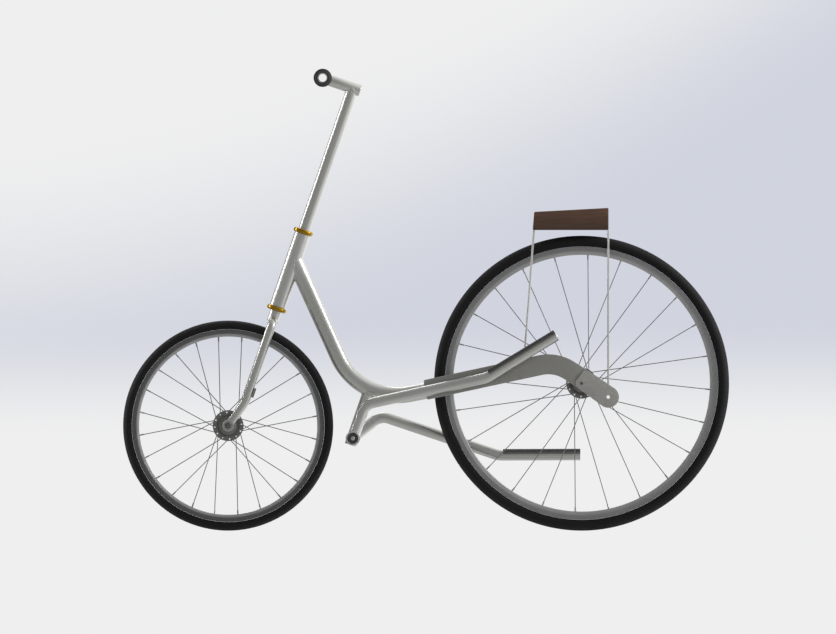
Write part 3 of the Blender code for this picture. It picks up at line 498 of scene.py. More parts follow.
# ---- pieces ------------------------------------------------------------------------------------
def add_piece(name, mesh_data, node, finish_name=None, place=None, bevel=0.0):
    """A piece that stands for a CAD node and moves with that node's body; its turn goes into its mesh."""
    place = place or Matrix()
    bmesh.ops.recalc_face_normals(mesh_data, faces=mesh_data.faces)
    bmesh.ops.transform(mesh_data, matrix=place.to_3x3().to_4x4(), verts=mesh_data.verts)
    mesh = bpy.data.meshes.new(name)
    mesh_data.to_mesh(mesh)
    mesh_data.free()
    made = bpy.data.objects.new(name, mesh)
    bpy.context.scene.collection.objects.link(made)
    made.data.materials.append(FINISHES[finish_name or SLOT_OF[node]])
    if bevel:
        soften = made.modifiers.new("soft_edges", "BEVEL")
        soften.width = bevel
        soften.segments = 3
        soften.limit_method = "ANGLE"
    made.data.shade_smooth()
    made.data.set_sharp_from_angle(angle=SHARP_EDGE)
    made.location = place.translation
    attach(made, BODY_OF[node])
    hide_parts(node)
    return made


# ---- sections and paths ------------------------------------------------------------------------
def circle(radius, sides=TUBE_SIDES):
    """A round section as (sideways, upwards) pairs."""
    return [(radius * cos(2 * pi * i / sides), radius * sin(2 * pi * i / sides)) for i in range(sides)]


def soft_rectangle(width, tall, corner, steps=4):
    """A box section with rounded corners."""
    points = []
    for quarter in range(4):
        sx = 1 if quarter in (0, 3) else -1
        sy = 1 if quarter in (0, 1) else -1
        centre = (sx * (width / 2 - corner), sy * (tall / 2 - corner))
        for i in range(steps + 1):
            angle = pi / 2 * (quarter + i / steps)
            points.append((centre[0] + corner * cos(angle), centre[1] + corner * sin(angle)))
    return points


def fillet(before, corner, after, radius):
    """Points along the arc that rounds a corner."""
    to_before = (before - corner).normalized()
    to_after = (after - corner).normalized()
    turn = pi - acos(max(-1.0, min(1.0, to_before.dot(to_after))))
    centre = corner + (to_before + to_after).normalized() * (radius / cos(turn / 2))
    first = corner + to_before * radius * tan(turn / 2) - centre
    last = corner + to_after * radius * tan(turn / 2) - centre
    axis = first.cross(last).normalized()
    steps = max(2, round(turn / BEND_STEP))
    turns = [Matrix.Rotation(turn * i / steps, 3, axis) for i in range(steps + 1)]
    return [centre + part @ first for part in turns]


def cross_line(half, x=0.0, z=0.0):
    """A straight path across the cycle."""
    return [Vector((x, -half, z)), Vector((x, half, z))]


def travel(path):
    """The directions in which a path starts and ends."""
    return (path[1] - path[0]).normalized(), (path[-1] - path[-2]).normalized()


def bent_path(corners, radii):
    """A path through corners, each inner one rounded by its radius."""
    points = [Vector(corner) for corner in corners]
    path = [points[0]]
    for i, radius in enumerate(radii, start=1):
        path += fillet(points[i - 1], points[i], points[i + 1], radius)
    return path + [points[-1]]


def path_directions(path, closed=False):
    """The unit direction of travel at each point of a path."""
    count = len(path)
    directions = []
    for i, point in enumerate(path):
        ahead = (path[(i + 1) % count] - point) if closed or i + 1 < count else Vector()
        behind = (point - path[i - 1]) if closed or i else Vector()
        directions.append((ahead.normalized() + behind.normalized()).normalized())
    return directions


# ---- solids ------------------------------------------------------------------------------------
def skin_rings(mesh, rings, closed=False):
    """Quads between neighbouring rings."""
    count = len(rings) if closed else len(rings) - 1
    for i in range(count):
        here, there = rings[i], rings[(i + 1) % len(rings)]
        for j in range(len(here)):
            k = (j + 1) % len(here)
            mesh.faces.new((here[j], here[k], there[k], there[j]))


def place_rings(path, sections, side):
    """Ring points at each point of a path, each with its own section."""
    rings = []
    across = Vector(side)
    for point, along, section in zip(path, path_directions(path), sections):
        across = (across - along * across.dot(along)).normalized()
        up = along.cross(across)
        rings.append([point + across * s + up * u for s, u in section])
    return rings


def add_rings(mesh, rings):
    """The vertices of ring points."""
    return [[mesh.verts.new(point) for point in ring] for ring in rings]


def solid_of_rings(mesh, rings):
    """Adds a solid skinned over rings of points, flat at both ends, and returns the mesh."""
    corners = add_rings(mesh, rings)
    skin_rings(mesh, corners)
    mesh.faces.new(corners[0])
    mesh.faces.new(corners[-1])
    return mesh


def distance_to_path(point, path):
    """Shortest distance from a point to a path of straight steps."""
    best = None
    for start, end in zip(path, path[1:]):
        step = end - start
        part = max(0.0, min(1.0, (point - start).dot(step) / step.length_squared))
        away = (start + step * part - point).length
        best = away if best is None else min(best, away)
    return best


def run_to_tube(point, direction, path, radius):
    """Where a line from a point first meets a tube round a path; the closest place if it misses."""
    closest = (distance_to_path(point, path), 0.0)
    for i in range(1, COPE_STEPS):
        high = COPE_STEP * i
        away = distance_to_path(point + direction * high, path)
        if away <= radius:
            break
        closest = min(closest, (away, high))
    else:
        return point + direction * closest[1]
    low = COPE_STEP * (i - 1)
    high = low + COPE_STEP
    for _ in range(COPE_HALVINGS):
        middle = (low + high) / 2
        if distance_to_path(point + direction * middle, path) <= radius:
            high = middle
        else:
            low = middle
    return point + direction * high


def coped(ring, direction, target):
    """A ring of points slid along a direction until each lies on the target tube (path, radius)."""
    return [run_to_tube(point, direction, *target) for point in ring]


def pressed(path, radius, sides, press):
    """Round sections that a press (stretch, narrowing, flattening) shapes towards the path's end."""
    stretch, narrowing, flattening = press
    sections = []
    for point in path:
        share = max(0.0, 1.0 - (path[-1] - point).length / stretch)
        share *= share * (3.0 - 2.0 * share)
        sections.append([(s * (1.0 - narrowing * share), u * (1.0 - flattening * share))
                         for s, u in circle(radius, sides)])
    return sections


def tube(path, radius, bore, side=(0.0, 1.0, 0.0), start_on=None, end_on=None, sides=TUBE_SIDES,
         press=UNPRESSED):
    """A tube with softened ends, or ends coped to another tube: (mesh, the two end rings)."""
    rings = place_rings(path, pressed(path, radius, sides, press), side)
    inner = place_rings(path, pressed(path, bore, sides, press), side)
    first, last = travel(path)
    if start_on:
        rings[0] = coped(rings[1], -first, start_on)
        inner[0] = coped(inner[1], -first, start_on)
    else:
        rings = soften_start(rings, first)
    if end_on:
        rings[-1] = coped(rings[-2], last, end_on)
        inner[-1] = coped(inner[-2], last, end_on)
    else:
        rings = soften_start(rings[::-1], -last)[::-1]
    mesh = bmesh.new()
    outside, inside = add_rings(mesh, rings), add_rings(mesh, inner)
    skin_rings(mesh, outside)
    skin_rings(mesh, inside)
    skin_rings(mesh, [outside[0], inside[0]])
    skin_rings(mesh, [outside[-1], inside[-1]])
    return mesh, (rings[0], rings[-1])


def soften_start(rings, along):
    """Rings with a small chamfer in place of the first one's sharp edge."""
    centre = sum(rings[0], Vector()) / len(rings[0])
    shrunk = [point + (centre - point).normalized() * EDGE for point in rings[0]]
    moved = [point + along * EDGE for point in rings[0]]
    return [shrunk, moved] + rings[1:]


def turned(profile, axis="Y", steps=96):
    """A ring turned round an axis from a closed profile of (radius, distance along the axis)."""
    rings = []
    for i in range(steps):
        c, s = cos(2 * pi * i / steps), sin(2 * pi * i / steps)
        if axis == "Y":
            rings.append([(r * c, away, r * s) for r, away in profile])
        else:
            rings.append([(r * c, r * s, away) for r, away in profile])
    mesh = bmesh.new()
    skin_rings(mesh, add_rings(mesh, rings), closed=True)
    return mesh


def facing(side, profile):
    """A profile whose distances along the axis run towards one side."""
    return [(r, side * away) for r, away in profile]


def spindle(mesh, stations, direction=(0.0, 1.0, 0.0), start=(0.0, 0.0, 0.0), sides=32):
    """Adds a solid turned bar from stations of (distance along, radius), and returns the mesh."""
    along = Vector(direction).normalized()
    side = Vector((1.0, 0.0, 0.0)) if abs(along.x) < 0.9 else Vector((0.0, 1.0, 0.0))
    across = (side - along * side.dot(along)).normalized()
    up = along.cross(across)
    rings = []
    for away, radius in stations:
        point = Vector(start) + along * away
        rings.append([point + across * s + up * u for s, u in circle(radius, sides)])
    return solid_of_rings(mesh, rings)


def even_loop(points, spacing):
    """A closed loop of points taken again at an even spacing."""
    ends = points[1:] + points[:1]
    lengths = [(b - a).length for a, b in zip(points, ends)]
    total = sum(lengths)
    count = max(24, round(total / spacing))
    result, index, passed = [], 0, 0.0
    for i in range(count):
        wanted = total * i / count
        while passed + lengths[index] < wanted:
            passed += lengths[index]
            index += 1
        part = (wanted - passed) / lengths[index] if lengths[index] else 0.0
        result.append(points[index].lerp(ends[index], part))
    return result, total


def weld(mesh, loop, radius=WELD_R):
    """A rippled bead of weld along a closed loop."""
    points, total = even_loop(loop, WELD_SPACING)
    middle = sum(points, Vector()) / len(points)
    ripples = max(1, round(total / WELD_RIPPLE))
    rings = []
    for i, (point, along) in enumerate(zip(points, path_directions(points, closed=True))):
        across = point - middle
        across = (across - along * across.dot(along)).normalized()
        up = along.cross(across)
        size = radius * (1.0 + WELD_SWELL * sin(2 * pi * ripples * i / len(points)))
        rings.append([point + across * s + up * u for s, u in circle(size, WELD_SIDES)])
    skin_rings(mesh, add_rings(mesh, rings), closed=True)


def ring_loop(centre, normal, radius, count=64):
    """Points round a circle."""
    axis = Vector(normal).normalized()
    side = axis.orthogonal().normalized()
    up = axis.cross(side)
    middle = Vector(centre)
    return [middle + side * s + up * u for s, u in circle(radius, count)]


# ---- wheels ------------------------------------------------------------------------------------
def casing_arc(wheel, wall):
    """(radius, sideways, tread share) points over a casing, a wall's thickness in from its outside."""
    edge = wheel["rim_r"] + GAP
    middle = (wheel["tyre_r"] + edge) / 2 - TYRE_CENTRE_DROP
    half_width, rise = TYRE_HALF_WIDTH - wall, wheel["tyre_r"] - wall - middle
    arc = []
    for i in range(CASING_STEPS + 1):
        angle = -TYRE_BEAD_ANGLE + (pi + 2 * TYRE_BEAD_ANGLE) * i / CASING_STEPS
        radius, y = middle + rise * sin(angle), half_width * cos(angle)
        share = 0.0
        if not wall and sin(angle) > TREAD_START:
            near = min(abs(abs(y) - groove) for groove in TREAD_GROOVES)
            radius -= TREAD_DEPTH * max(0.0, 1.0 - near / TREAD_GROOVE_HALF_WIDTH)
            share = 1.0 if TREAD_CUT_Y[0] < abs(y) < TREAD_CUT_Y[1] else 0.0
        arc.append((radius, y, share))
    arc[0] = (edge, arc[0][1], 0.0)
    arc[-1] = (edge, arc[-1][1], 0.0)
    return arc


def make_tyre(name, wheel):
    """A casing with grooves round the tread and short cross cuts on its shoulders."""
    outline = casing_arc(wheel, 0.0) + casing_arc(wheel, TYRE_WALL)[::-1]
    pitches = round(2 * pi * wheel["tyre_r"] / TREAD_PITCH)
    rings = []
    for pitch in range(pitches):
        for part, cut_depth in TREAD_CUT_STATIONS:
            angle = 2 * pi * (pitch + part) / pitches
            ring = []
            for radius, y, share in outline:
                r = radius - TREAD_DEPTH * share * cut_depth
                ring.append((r * cos(angle), y, r * sin(angle)))
            rings.append(ring)
    mesh = bmesh.new()
    skin_rings(mesh, add_rings(mesh, rings), closed=True)
    add_piece(f"{name}_tyre_casing", mesh, f"{name}_tyre", f"{name}_tyre", Matrix.Translation(wheel["hub"]))


def rim_half(top, shoulder, inner):
    """(radius, sideways) points down one side of a rim: flange, grooved track and curved inner band."""
    side = RIM_HALF_WIDTH
    half = [(top - 0.0005, side - 0.0018), (top, side - 0.0014), (top, side - 0.0004), (top - 0.0005, side)]
    track = top - 0.0018
    while track > shoulder + 0.0016:
        half += [(track, side), (track - 0.0004, side - TRACK_GROOVE_DEPTH), (track - 0.0008, side)]
        track -= TRACK_GROOVE_PITCH
    half += [(shoulder + 0.0003, side), (shoulder - 0.0003, side - 0.0003)]
    for i in range(1, 7):
        angle = pi / 2 * i / 7
        across = RIM_INNER_HALF_WIDTH + (side - 0.0004 - RIM_INNER_HALF_WIDTH) * (1.0 - i / 7) ** 0.8
        half.append((shoulder - (shoulder - inner) * sin(angle) * i / 7, across))
    return half + [(inner + 0.0004, RIM_INNER_HALF_WIDTH), (inner, RIM_INNER_HALF_WIDTH - 0.0006)]


def make_rim(name, wheel):
    """A rim with rounded flanges, a grooved braking track, a curved inner band and a tyre well."""
    top = wheel["rim_r"]
    half = rim_half(top, wheel["shoulder_r"], wheel["inner_r"])
    lip, lip_y = top - 0.0015, RIM_HALF_WIDTH - 0.0018
    well, floor = top - 0.0062, RIM_HALF_WIDTH - 0.0033
    profile = half + facing(-1, half[::-1]) + [(lip, -lip_y), (well, -floor), (well, floor), (lip, lip_y)]
    mesh = turned(profile, steps=WHEEL_STEPS)
    add_piece(f"{name}_rim_hoop", mesh, f"{name}_rim", f"{name}_rim", Matrix.Translation(wheel["hub"]))


def spoke_line(wheel, side, index):
    """(flange hole, rim end, which face it leaves) of one spoke."""
    turn = 1 if index % 2 else -1
    half_step = 0.0 if side < 0 else 180.0 / SPOKES_PER_SIDE
    rim_angle = radians(wheel["first_spoke"] + half_step + 360.0 / SPOKES_PER_SIDE * index)
    hole_angle = rim_angle + radians(SPOKE_LEAN[side]) * turn
    out = FLANGE_THICKNESS / 2 + SPOKE_R
    hole = Vector((SPOKE_HOLE_R * cos(hole_angle), side * (FLANGE_Y + out * turn),
                   SPOKE_HOLE_R * sin(hole_angle)))
    seat = wheel["inner_r"] + 0.0010
    rim = Vector((seat * cos(rim_angle), side * SPOKE_RIM_Y, seat * sin(rim_angle)))
    return hole, rim, turn


def make_spokes(name, wheel, side_name):
    """One side's spokes with elbows and heads, and their nipples."""
    side = SIDES[side_name]
    wires, heads, nipples = bmesh.new(), bmesh.new(), bmesh.new()
    for index in range(SPOKES_PER_SIDE):
        hole, rim, turn = spoke_line(wheel, side, index)
        inward = Vector((0.0, -side * turn, 0.0))
        head = hole + inward * (FLANGE_THICKNESS + SPOKE_R + 0.0002)
        along = (rim - hole).normalized()
        path = bent_path([head, hole, rim], [SPOKE_ELBOW_BEND_R])
        sections = [circle(SPOKE_R, 12)] * len(path)
        solid_of_rings(wires, place_rings(path, sections, inward.cross(along)))
        # the heads and elbow collars take the near-white painted glint finish
        spindle(heads, SPOKE_HEAD_STATIONS, inward, head, 16)
        if turn == 1:
            spindle(heads, SPOKE_ELBOW_STATIONS, -inward, hole, 16)
        spindle(nipples, NIPPLE_STATIONS, -along, rim, 16)
    node = f"{name}_{side_name}_spokes"
    for ending, mesh, look in (("wires", wires, "spoke_steel"), ("heads", heads, "spoke_head"),
                               ("nipples", nipples, "nipple_brass")):
        add_piece(f"{name}_{side_name}_spoke_{ending}", mesh, node, look, Matrix.Translation(wheel["hub"]))


def make_flange(name, wheel, side_name):
    """The disc that holds one side's spokes, hollowed round the hub."""
    near, far = FLANGE_Y - FLANGE_THICKNESS / 2, FLANGE_Y + FLANGE_THICKNESS / 2
    profile = [(HUB_R - 0.0004, near), (HUB_R + 0.0030, near), (FLANGE_R - 0.0008, near),
               (FLANGE_R, near + 0.0007), (FLANGE_R, far - 0.0007), (FLANGE_R - 0.0008, far),
               (HUB_R + 0.0072, far), (HUB_R + 0.0064, far - 0.0006), (HUB_R + 0.0035, far - 0.0006),
               (HUB_R + 0.0010, far + 0.0010), (HUB_R - 0.0004, far + 0.0014)]
    add_piece(f"{name}_{side_name}_flange", turned(facing(SIDES[side_name], profile)),
              f"{name}_{side_name}_spokes", "hub_grey", Matrix.Translation(wheel["hub"]))


def make_hub(name, wheel):
    """A waisted hub shell with a step at each end."""
    end, seat = HUB_HALF_LENGTH, HUB_HALF_LENGTH - BEARING_WIDTH - 2 * GAP
    half = []
    for i in range(9):
        y = 0.0200 * i / 8
        half.append((HUB_WAIST_R + (HUB_R - HUB_WAIST_R) * (1.0 - cos(pi * i / 8)) / 2, y))
    half += [(HUB_R, end - 0.0032), (HUB_R - 0.0012, end - 0.0026), (HUB_R - 0.0012, end - 0.0006),
             (HUB_R - 0.0018, end), (BEARING_R + GAP, end), (BEARING_R + GAP, seat), (0.0095, seat)]
    mesh = turned(half + facing(-1, half[:0:-1]))
    add_piece(f"{name}_hub_shell", mesh, f"{name}_hub", "hub_grey", Matrix.Translation(wheel["hub"]))


def make_bearing(name, wheel, side_name):
    """A wheel bearing with a sunk shield."""
    far = HUB_HALF_LENGTH - GAP
    near, inner = far - BEARING_WIDTH, AXLE_R + GAP
    profile = [(inner, near), (BEARING_R, near), (BEARING_R, far - 0.0003), (BEARING_R - 0.0003, far),
               (BEARING_R - 0.0016, far), (BEARING_R - 0.0019, far - 0.0005), (inner + 0.0019, far - 0.0005),
               (inner + 0.0016, far), (inner, far)]
    node = f"{name}_{side_name}_bearing"
    add_piece(f"{node}_shield", turned(facing(SIDES[side_name], profile), steps=64), node, "bright_steel",
              Matrix.Translation(wheel["hub"]))


def make_valve(name, wheel):
    """A short valve with its cap, through the rim's inner band."""
    angle = radians(wheel["valve"])
    outward = Vector((cos(angle), 0.0, sin(angle)))
    start = outward * (wheel["inner_r"] - VALVE_DROP)
    mesh = spindle(bmesh.new(), VALVE_STATIONS, outward, start, 24)
    add_piece(f"{name}_valve", mesh, f"{name}_rim", "valve_black", Matrix.Translation(wheel["hub"]))


def make_wheel(name, wheel):
    """All the turning pieces of one wheel."""
    make_tyre(name, wheel)
    make_rim(name, wheel)
    make_hub(name, wheel)
    for side_name in SIDES:
        make_bearing(name, wheel, side_name)
    make_valve(name, wheel)
    for side_name in SIDES:
        make_spokes(name, wheel, side_name)
        make_flange(name, wheel, side_name)


def thread(start, end, radius, pitch=0.0008, depth=0.00035):
    """Stations of a threaded stretch of a bar."""
    stations, y = [], start
    while y < end - pitch:
        stations += [(y, radius), (y + pitch / 2, radius - depth)]
        y += pitch
    return stations + [(end - 0.0004, radius), (end, radius - 0.0006)]


def half_axle(end, shoulder_end, threaded_from=None):
    """Stations of an axle from its middle to its end."""
    shoulder, wide = HUB_HALF_LENGTH + 0.0004, AXLE_SHOULDER_R
    stations = [(shoulder, AXLE_R), (shoulder, wide - 0.0004), (shoulder + 0.0004, wide),
                (shoulder_end - 0.0004, wide), (shoulder_end, wide - 0.0004), (shoulder_end, AXLE_R)]
    if threaded_from:
        return stations + thread(threaded_from, end, AXLE_R)
    return stations + [(end - 0.0004, AXLE_R), (end, AXLE_R - 0.0004)]


def whole_axle(half):
    """An axle's stations from end to end."""
    return [(-y, r) for y, r in reversed(half)] + half


def make_axles():
    """The two wheels' fixed axles."""
    front = half_axle(reach("front_axle")[1], FORK_END_Y[0] - GAP, NUT_Y[1] - 0.0006)
    rear = half_axle(reach("rear_axle")[1], ARM_Y - ARM_THICKNESS / 2 - GAP)
    for node, half, place in (("front_axle", front, STEERING @ Matrix.Translation(FORK_HUB)),
                              ("rear_axle", rear, Matrix.Translation(REAR_HUB))):
        add_piece(f"{node}_bar", spindle(bmesh.new(), whole_axle(half)), node, place=place)


# ---- steering ----------------------------------------------------------------------------------
def make_head():
    """Head tube with a brass ring and a bearing at each end."""
    inside = HEADSET_HALF_HEIGHT + GAP
    path = [Vector((0.0, 0.0, inside - HEADSET_SPACING)), Vector((0.0, 0.0, -inside))]
    mesh, _ = tube(path, HEAD_TUBE_R, HEAD_TUBE_BORE_R, sides=64)
    add_piece("head_tube_shell", mesh, "head_tube", place=STEERING)
    make_headset("upper", 0.0, 1)
    make_headset("lower", -HEADSET_SPACING, -1)


def make_headset(name, middle, opening):
    """A bulged brass ring and the bearing in it, open towards one end of the head tube."""
    h, waist = HEADSET_HALF_HEIGHT, HEADSET_R - HEADSET_BULGE
    angles = [pi * (i / 12 - 0.5) for i in range(13)]
    bulge = [(waist + HEADSET_BULGE * cos(a), h * sin(a)) for a in angles]
    ring = [(HEADSET_LIP_R, -h), *bulge, (HEADSET_SEAT_R + 0.0004, h), (HEADSET_SEAT_R, h - 0.0004),
            (HEADSET_SEAT_R, HEADSET_FLOOR - h), (HEADSET_LIP_R, HEADSET_FLOOR - h)]
    inner = STEERER_R + GAP
    race = [(inner, -0.0030), (0.0179, -0.0030), (0.0179, 0.0042), (0.0176, 0.0045), (0.0166, 0.0045),
            (0.0164, 0.0040), (0.0151, 0.0040), (0.0149, 0.0045), (inner, 0.0045)]
    for piece, node, profile, look in (("ring", "cup", ring, "brass"),
                                       ("race", "bearing", race, "bright_steel")):
        mesh = turned([(r, middle + opening * z) for r, z in profile], "Z")
        add_piece(f"{name}_headset_{piece}", mesh, f"{name}_headset_{node}", look, STEERING)


def add_extension(mesh, back, bar_path):
    """A bar with a rounded plain end at its back and a saddle that fits the handlebar at its front."""
    ahead = Vector((-1.0, 0.0, 0.0))
    near = back + ahead * (EXTENSION_BACK + BAR_REACH - BAR_R - 0.004)
    stations = [(back, 0.001), (back, EXTENSION_R - 0.0010), (back + ahead * 0.0003, EXTENSION_R - 0.0004),
                (back + ahead * 0.0010, EXTENSION_R), (near, EXTENSION_R)]
    rings = [[middle + Vector((0.0, y, z)) for y, z in circle(r)] for middle, r in stations]
    for share in (1.0, 0.9, 0.8, 0.65, 0.5, 0.3, 0.1):
        outline = [near + Vector((0.0, y, z)) for y, z in circle(EXTENSION_R * share)]
        rings.append(coped(outline, ahead, (bar_path, BAR_R - 0.0004)))
    solid_of_rings(mesh, rings)


def make_stem():
    """Steerer, stem extension and handlebar, welded together."""
    top, front = EXTENSION_HEIGHT, -BAR_REACH
    back = Vector((EXTENSION_BACK, 0.0, top))
    make_steerer([back, Vector((front, 0.0, top))])
    bar_path = cross_line(0.05, front, top)
    mesh = bmesh.new()
    add_extension(mesh, back, bar_path)
    bead = [Vector((front + 0.0005, y, top + z)) for y, z in circle(EXTENSION_R - 0.0010, 72)]
    weld(mesh, [run_to_tube(point + Vector((0.02, 0.0, 0.0)), Vector((-1.0, 0.0, 0.0)), bar_path, BAR_R)
                if abs(point.z - top) < BAR_R - 0.0012 else point for point in bead], THIN_WELD_R)
    add_piece("stem_extension_tube", mesh, "stem_extension", place=STEERING)
    place = STEERING @ Matrix.Translation((front, 0.0, top))
    mesh, _ = tube(cross_line(BAR_HALF_WIDTH), BAR_R, BAR_BORE_R, (1.0, 0.0, 0.0))
    add_piece("handlebar_tube", mesh, "handlebar", place=place)
    for side_name in SIDES:
        make_grip(side_name, place)


def make_steerer(extension_path):
    """The steerer tube, coped and welded to the crown below and to the stem extension above."""
    crown_path = cross_line(0.03, BLADE_BACK, -CROWN_DROP)
    heights = (-STEERER_DROP, -STEERER_DROP + 0.03, EXTENSION_HEIGHT - 0.03, EXTENSION_HEIGHT)
    mesh, ends = tube([Vector((0.0, 0.0, z)) for z in heights], STEERER_R, STEERER_BORE_R,
                      start_on=(crown_path, BLADE_R), end_on=(extension_path, EXTENSION_R))
    for ring in ends:
        weld(mesh, ring)
    add_piece("steerer_tube", mesh, "steerer", place=STEERING)


def make_grip(side_name, place):
    """A rubber grip with a hand flange, rings along its length and a plain end band."""
    bore, start, end = BAR_R + GAP, GRIP_START, GRIP_END
    profile = [(bore, start), (GRIP_FLANGE_R - 0.0012, start), (GRIP_FLANGE_R, start + 0.0012),
               (GRIP_FLANGE_R, start + 0.0038), (GRIP_FLANGE_R - 0.0012, start + 0.0050),
               (GRIP_R + 0.0010, start + 0.0062), (GRIP_R, start + 0.0080)]
    y, sunk = start + 0.0120, GRIP_R - GRIP_RING_DEPTH
    while y < end - 0.0200:
        profile += [(GRIP_R, y), (sunk, y + 0.0005), (sunk, y + 0.0015), (GRIP_R, y + 0.0020)]
        y += GRIP_RING_PITCH
    profile += [(GRIP_R, end - 0.0020), (GRIP_R - 0.0006, end - 0.0006), (GRIP_R - 0.0020, end), (bore, end)]
    mesh = turned(facing(SIDES[side_name], profile), steps=72)
    add_piece(f"{side_name}_grip_sleeve", mesh, f"{side_name}_grip", "grip_rubber", place)


def blade_path(side):
    """Centreline of a fork blade, from the crown to the wheel's axle."""
    end_y, bend_y = sum(FORK_END_Y) / 2, (BLADE_TOP_Y + FORK_END_Y[0]) / 2
    corners = [(BLADE_BACK, side * (CROWN_HALF_WIDTH + GAP), -CROWN_DROP),
               (BLADE_BACK, side * BLADE_TOP_Y, -CROWN_DROP),
               (BLADE_BACK, side * bend_y, -BLADE_BEND_DROP), (FORK_HUB.x, side * end_y, FORK_HUB.z)]
    path = bent_path(corners, BLADE_BEND_RADII)
    tail = [path[-2].lerp(path[-1], i / BLADE_TAIL_STEPS) for i in range(1, BLADE_TAIL_STEPS)]
    return path[:-1] + tail + path[-1:]


def make_fork():
    """Crown, blades, fork ends, nuts and the brake mounting tab."""
    across = (1.0, 0.0, 0.0)
    crown = cross_line(CROWN_HALF_WIDTH, BLADE_BACK, -CROWN_DROP)
    mesh, _ = tube(crown, BLADE_R, BLADE_BORE_R, across)
    for end in crown:
        weld(mesh, ring_loop(end, (0.0, 1.0, 0.0), BLADE_R), THIN_WELD_R)
    add_piece("fork_crown_tube", mesh, "fork_crown", place=STEERING)
    end_path = cross_line(0.2, FORK_HUB.x, FORK_HUB.z)
    for side_name, side in SIDES.items():
        mesh, ends = tube(blade_path(side), BLADE_R, BLADE_BORE_R, across, end_on=(end_path, FORK_END_R),
                          press=BLADE_PRESS)
        weld(mesh, ends[1], THIN_WELD_R)
        add_piece(f"{side_name}_fork_blade_tube", mesh, f"{side_name}_fork_blade", place=STEERING)
        make_fork_end(side_name, side)
    make_brake_tab()


def make_fork_end(side_name, side):
    """The round end of a blade, and the nut against it."""
    near, far = FORK_END_Y
    bore, rim = AXLE_R + GAP, FORK_END_R
    profile = [(bore + 0.0004, near), (rim - 0.0006, near), (rim, near + 0.0006), (rim, far - 0.0007),
               (rim - 0.0007, far), (0.0096, far), (0.0092, far - 0.0003), (bore + 0.0004, far - 0.0003),
               (bore, far - 0.0007), (bore, near + 0.0004)]
    place = STEERING @ Matrix.Translation(FORK_HUB)
    add_piece(f"{side_name}_fork_end_disc", turned(facing(side, profile)), f"{side_name}_fork_end",
              "plate_paint", place)
    add_piece(f"{side_name}_front_axle_hexagon", hexagon_nut(side, *NUT_Y), f"{side_name}_front_axle_nut",
              "dark_steel", place)


def hexagon_nut(side, near, far):
    """A six-sided nut with chamfered corners and a countersunk bore."""
    flat, bore = NUT_CORNER_R * cos(pi / 6), AXLE_R + 0.0002
    rings = []
    for i in range(72):
        angle = 2 * pi * i / 72
        corner = flat / cos((angle + pi / 6) % (pi / 3) - pi / 6)
        ease = (corner - flat) * 0.55
        stations = [(AXLE_R + 0.0005, near), (flat, near), (corner, near + ease), (corner, far - ease),
                    (flat, far), (AXLE_R + 0.0008, far), (bore, far - 0.0006), (bore, near + 0.0003)]
        rings.append([(r * cos(angle), side * y, r * sin(angle)) for r, y in stations])
    mesh = bmesh.new()
    skin_rings(mesh, add_rings(mesh, rings), closed=True)
    return mesh


def make_brake_tab():
    """A small mounting tab with rounded corners behind the left blade."""
    centre = STEERING.inverted() @ BRAKE_TAB_CENTRE
    width, thickness, length = BRAKE_TAB_SIZE
    stations = [(-0.5, 0.0006), (-0.475, 0.0), (0.475, 0.0), (0.5, 0.0006)]
    path = [centre + Vector((0.0, 0.0, 1.0)) * length * part for part, _ in stations]
    sections = [soft_rectangle(width - 2 * inset, thickness - 2 * inset, 0.0006) for _, inset in stations]
    mesh = solid_of_rings(bmesh.new(), place_rings(path, sections, (0.0, 1.0, 0.0)))
    add_piece("brake_mount_plate", mesh, "brake_mount_tab", "dark_steel", STEERING)


# ---- frame -------------------------------------------------------------------------------------
def main_tube_path():
    """Centreline of the main tube."""
    return bent_path(MAIN_TUBE_CORNERS, [MAIN_TUBE_BEND_R])


def make_main_tube():
    """The main tube, coped and welded to the head tube."""
    path = main_tube_path()
    along = (path[1] - path[0]).normalized()
    head_axis = STEERING.to_3x3() @ Vector((0.0, 0.0, 1.0))
    head_path = [STEERING_TOP - head_axis * HEADSET_SPACING * 1.5, STEERING_TOP + head_axis * 0.1]
    path.insert(1, path[0] + along * 0.060)
    mesh, ends = tube(path, MAIN_TUBE_R, MAIN_TUBE_BORE_R, start_on=(head_path, HEAD_TUBE_R), sides=64)
    weld(mesh, ends[0])
    add_piece("main_tube_shell", mesh, "main_tube")


def make_pivot_post():
    """The post that carries the treadle pivot, welded to the main tube and round the cross tube."""
    along = Vector((sin(POST_LEAN), 0.0, cos(POST_LEAN)))
    path = [PIVOT - along * POST_BELOW_PIVOT, PIVOT, PIVOT + along * 0.050]
    mesh, ends = tube(path, POST_R, POST_BORE_R, end_on=(main_tube_path(), MAIN_TUBE_R))
    weld(mesh, ends[1])
    post_path = [path[0] - along * 0.05, path[0] + along * 0.2]
    for side in SIDES.values():
        loop = [PIVOT + Vector((a, side * 0.03, b)) for a, b in circle(PIVOT_TUBE_R, 64)]
        weld(mesh, coped(loop, Vector((0.0, -side, 0.0)), (post_path, POST_R)), 0.0009)
    add_piece("pivot_post_tube", mesh, "pivot_post")


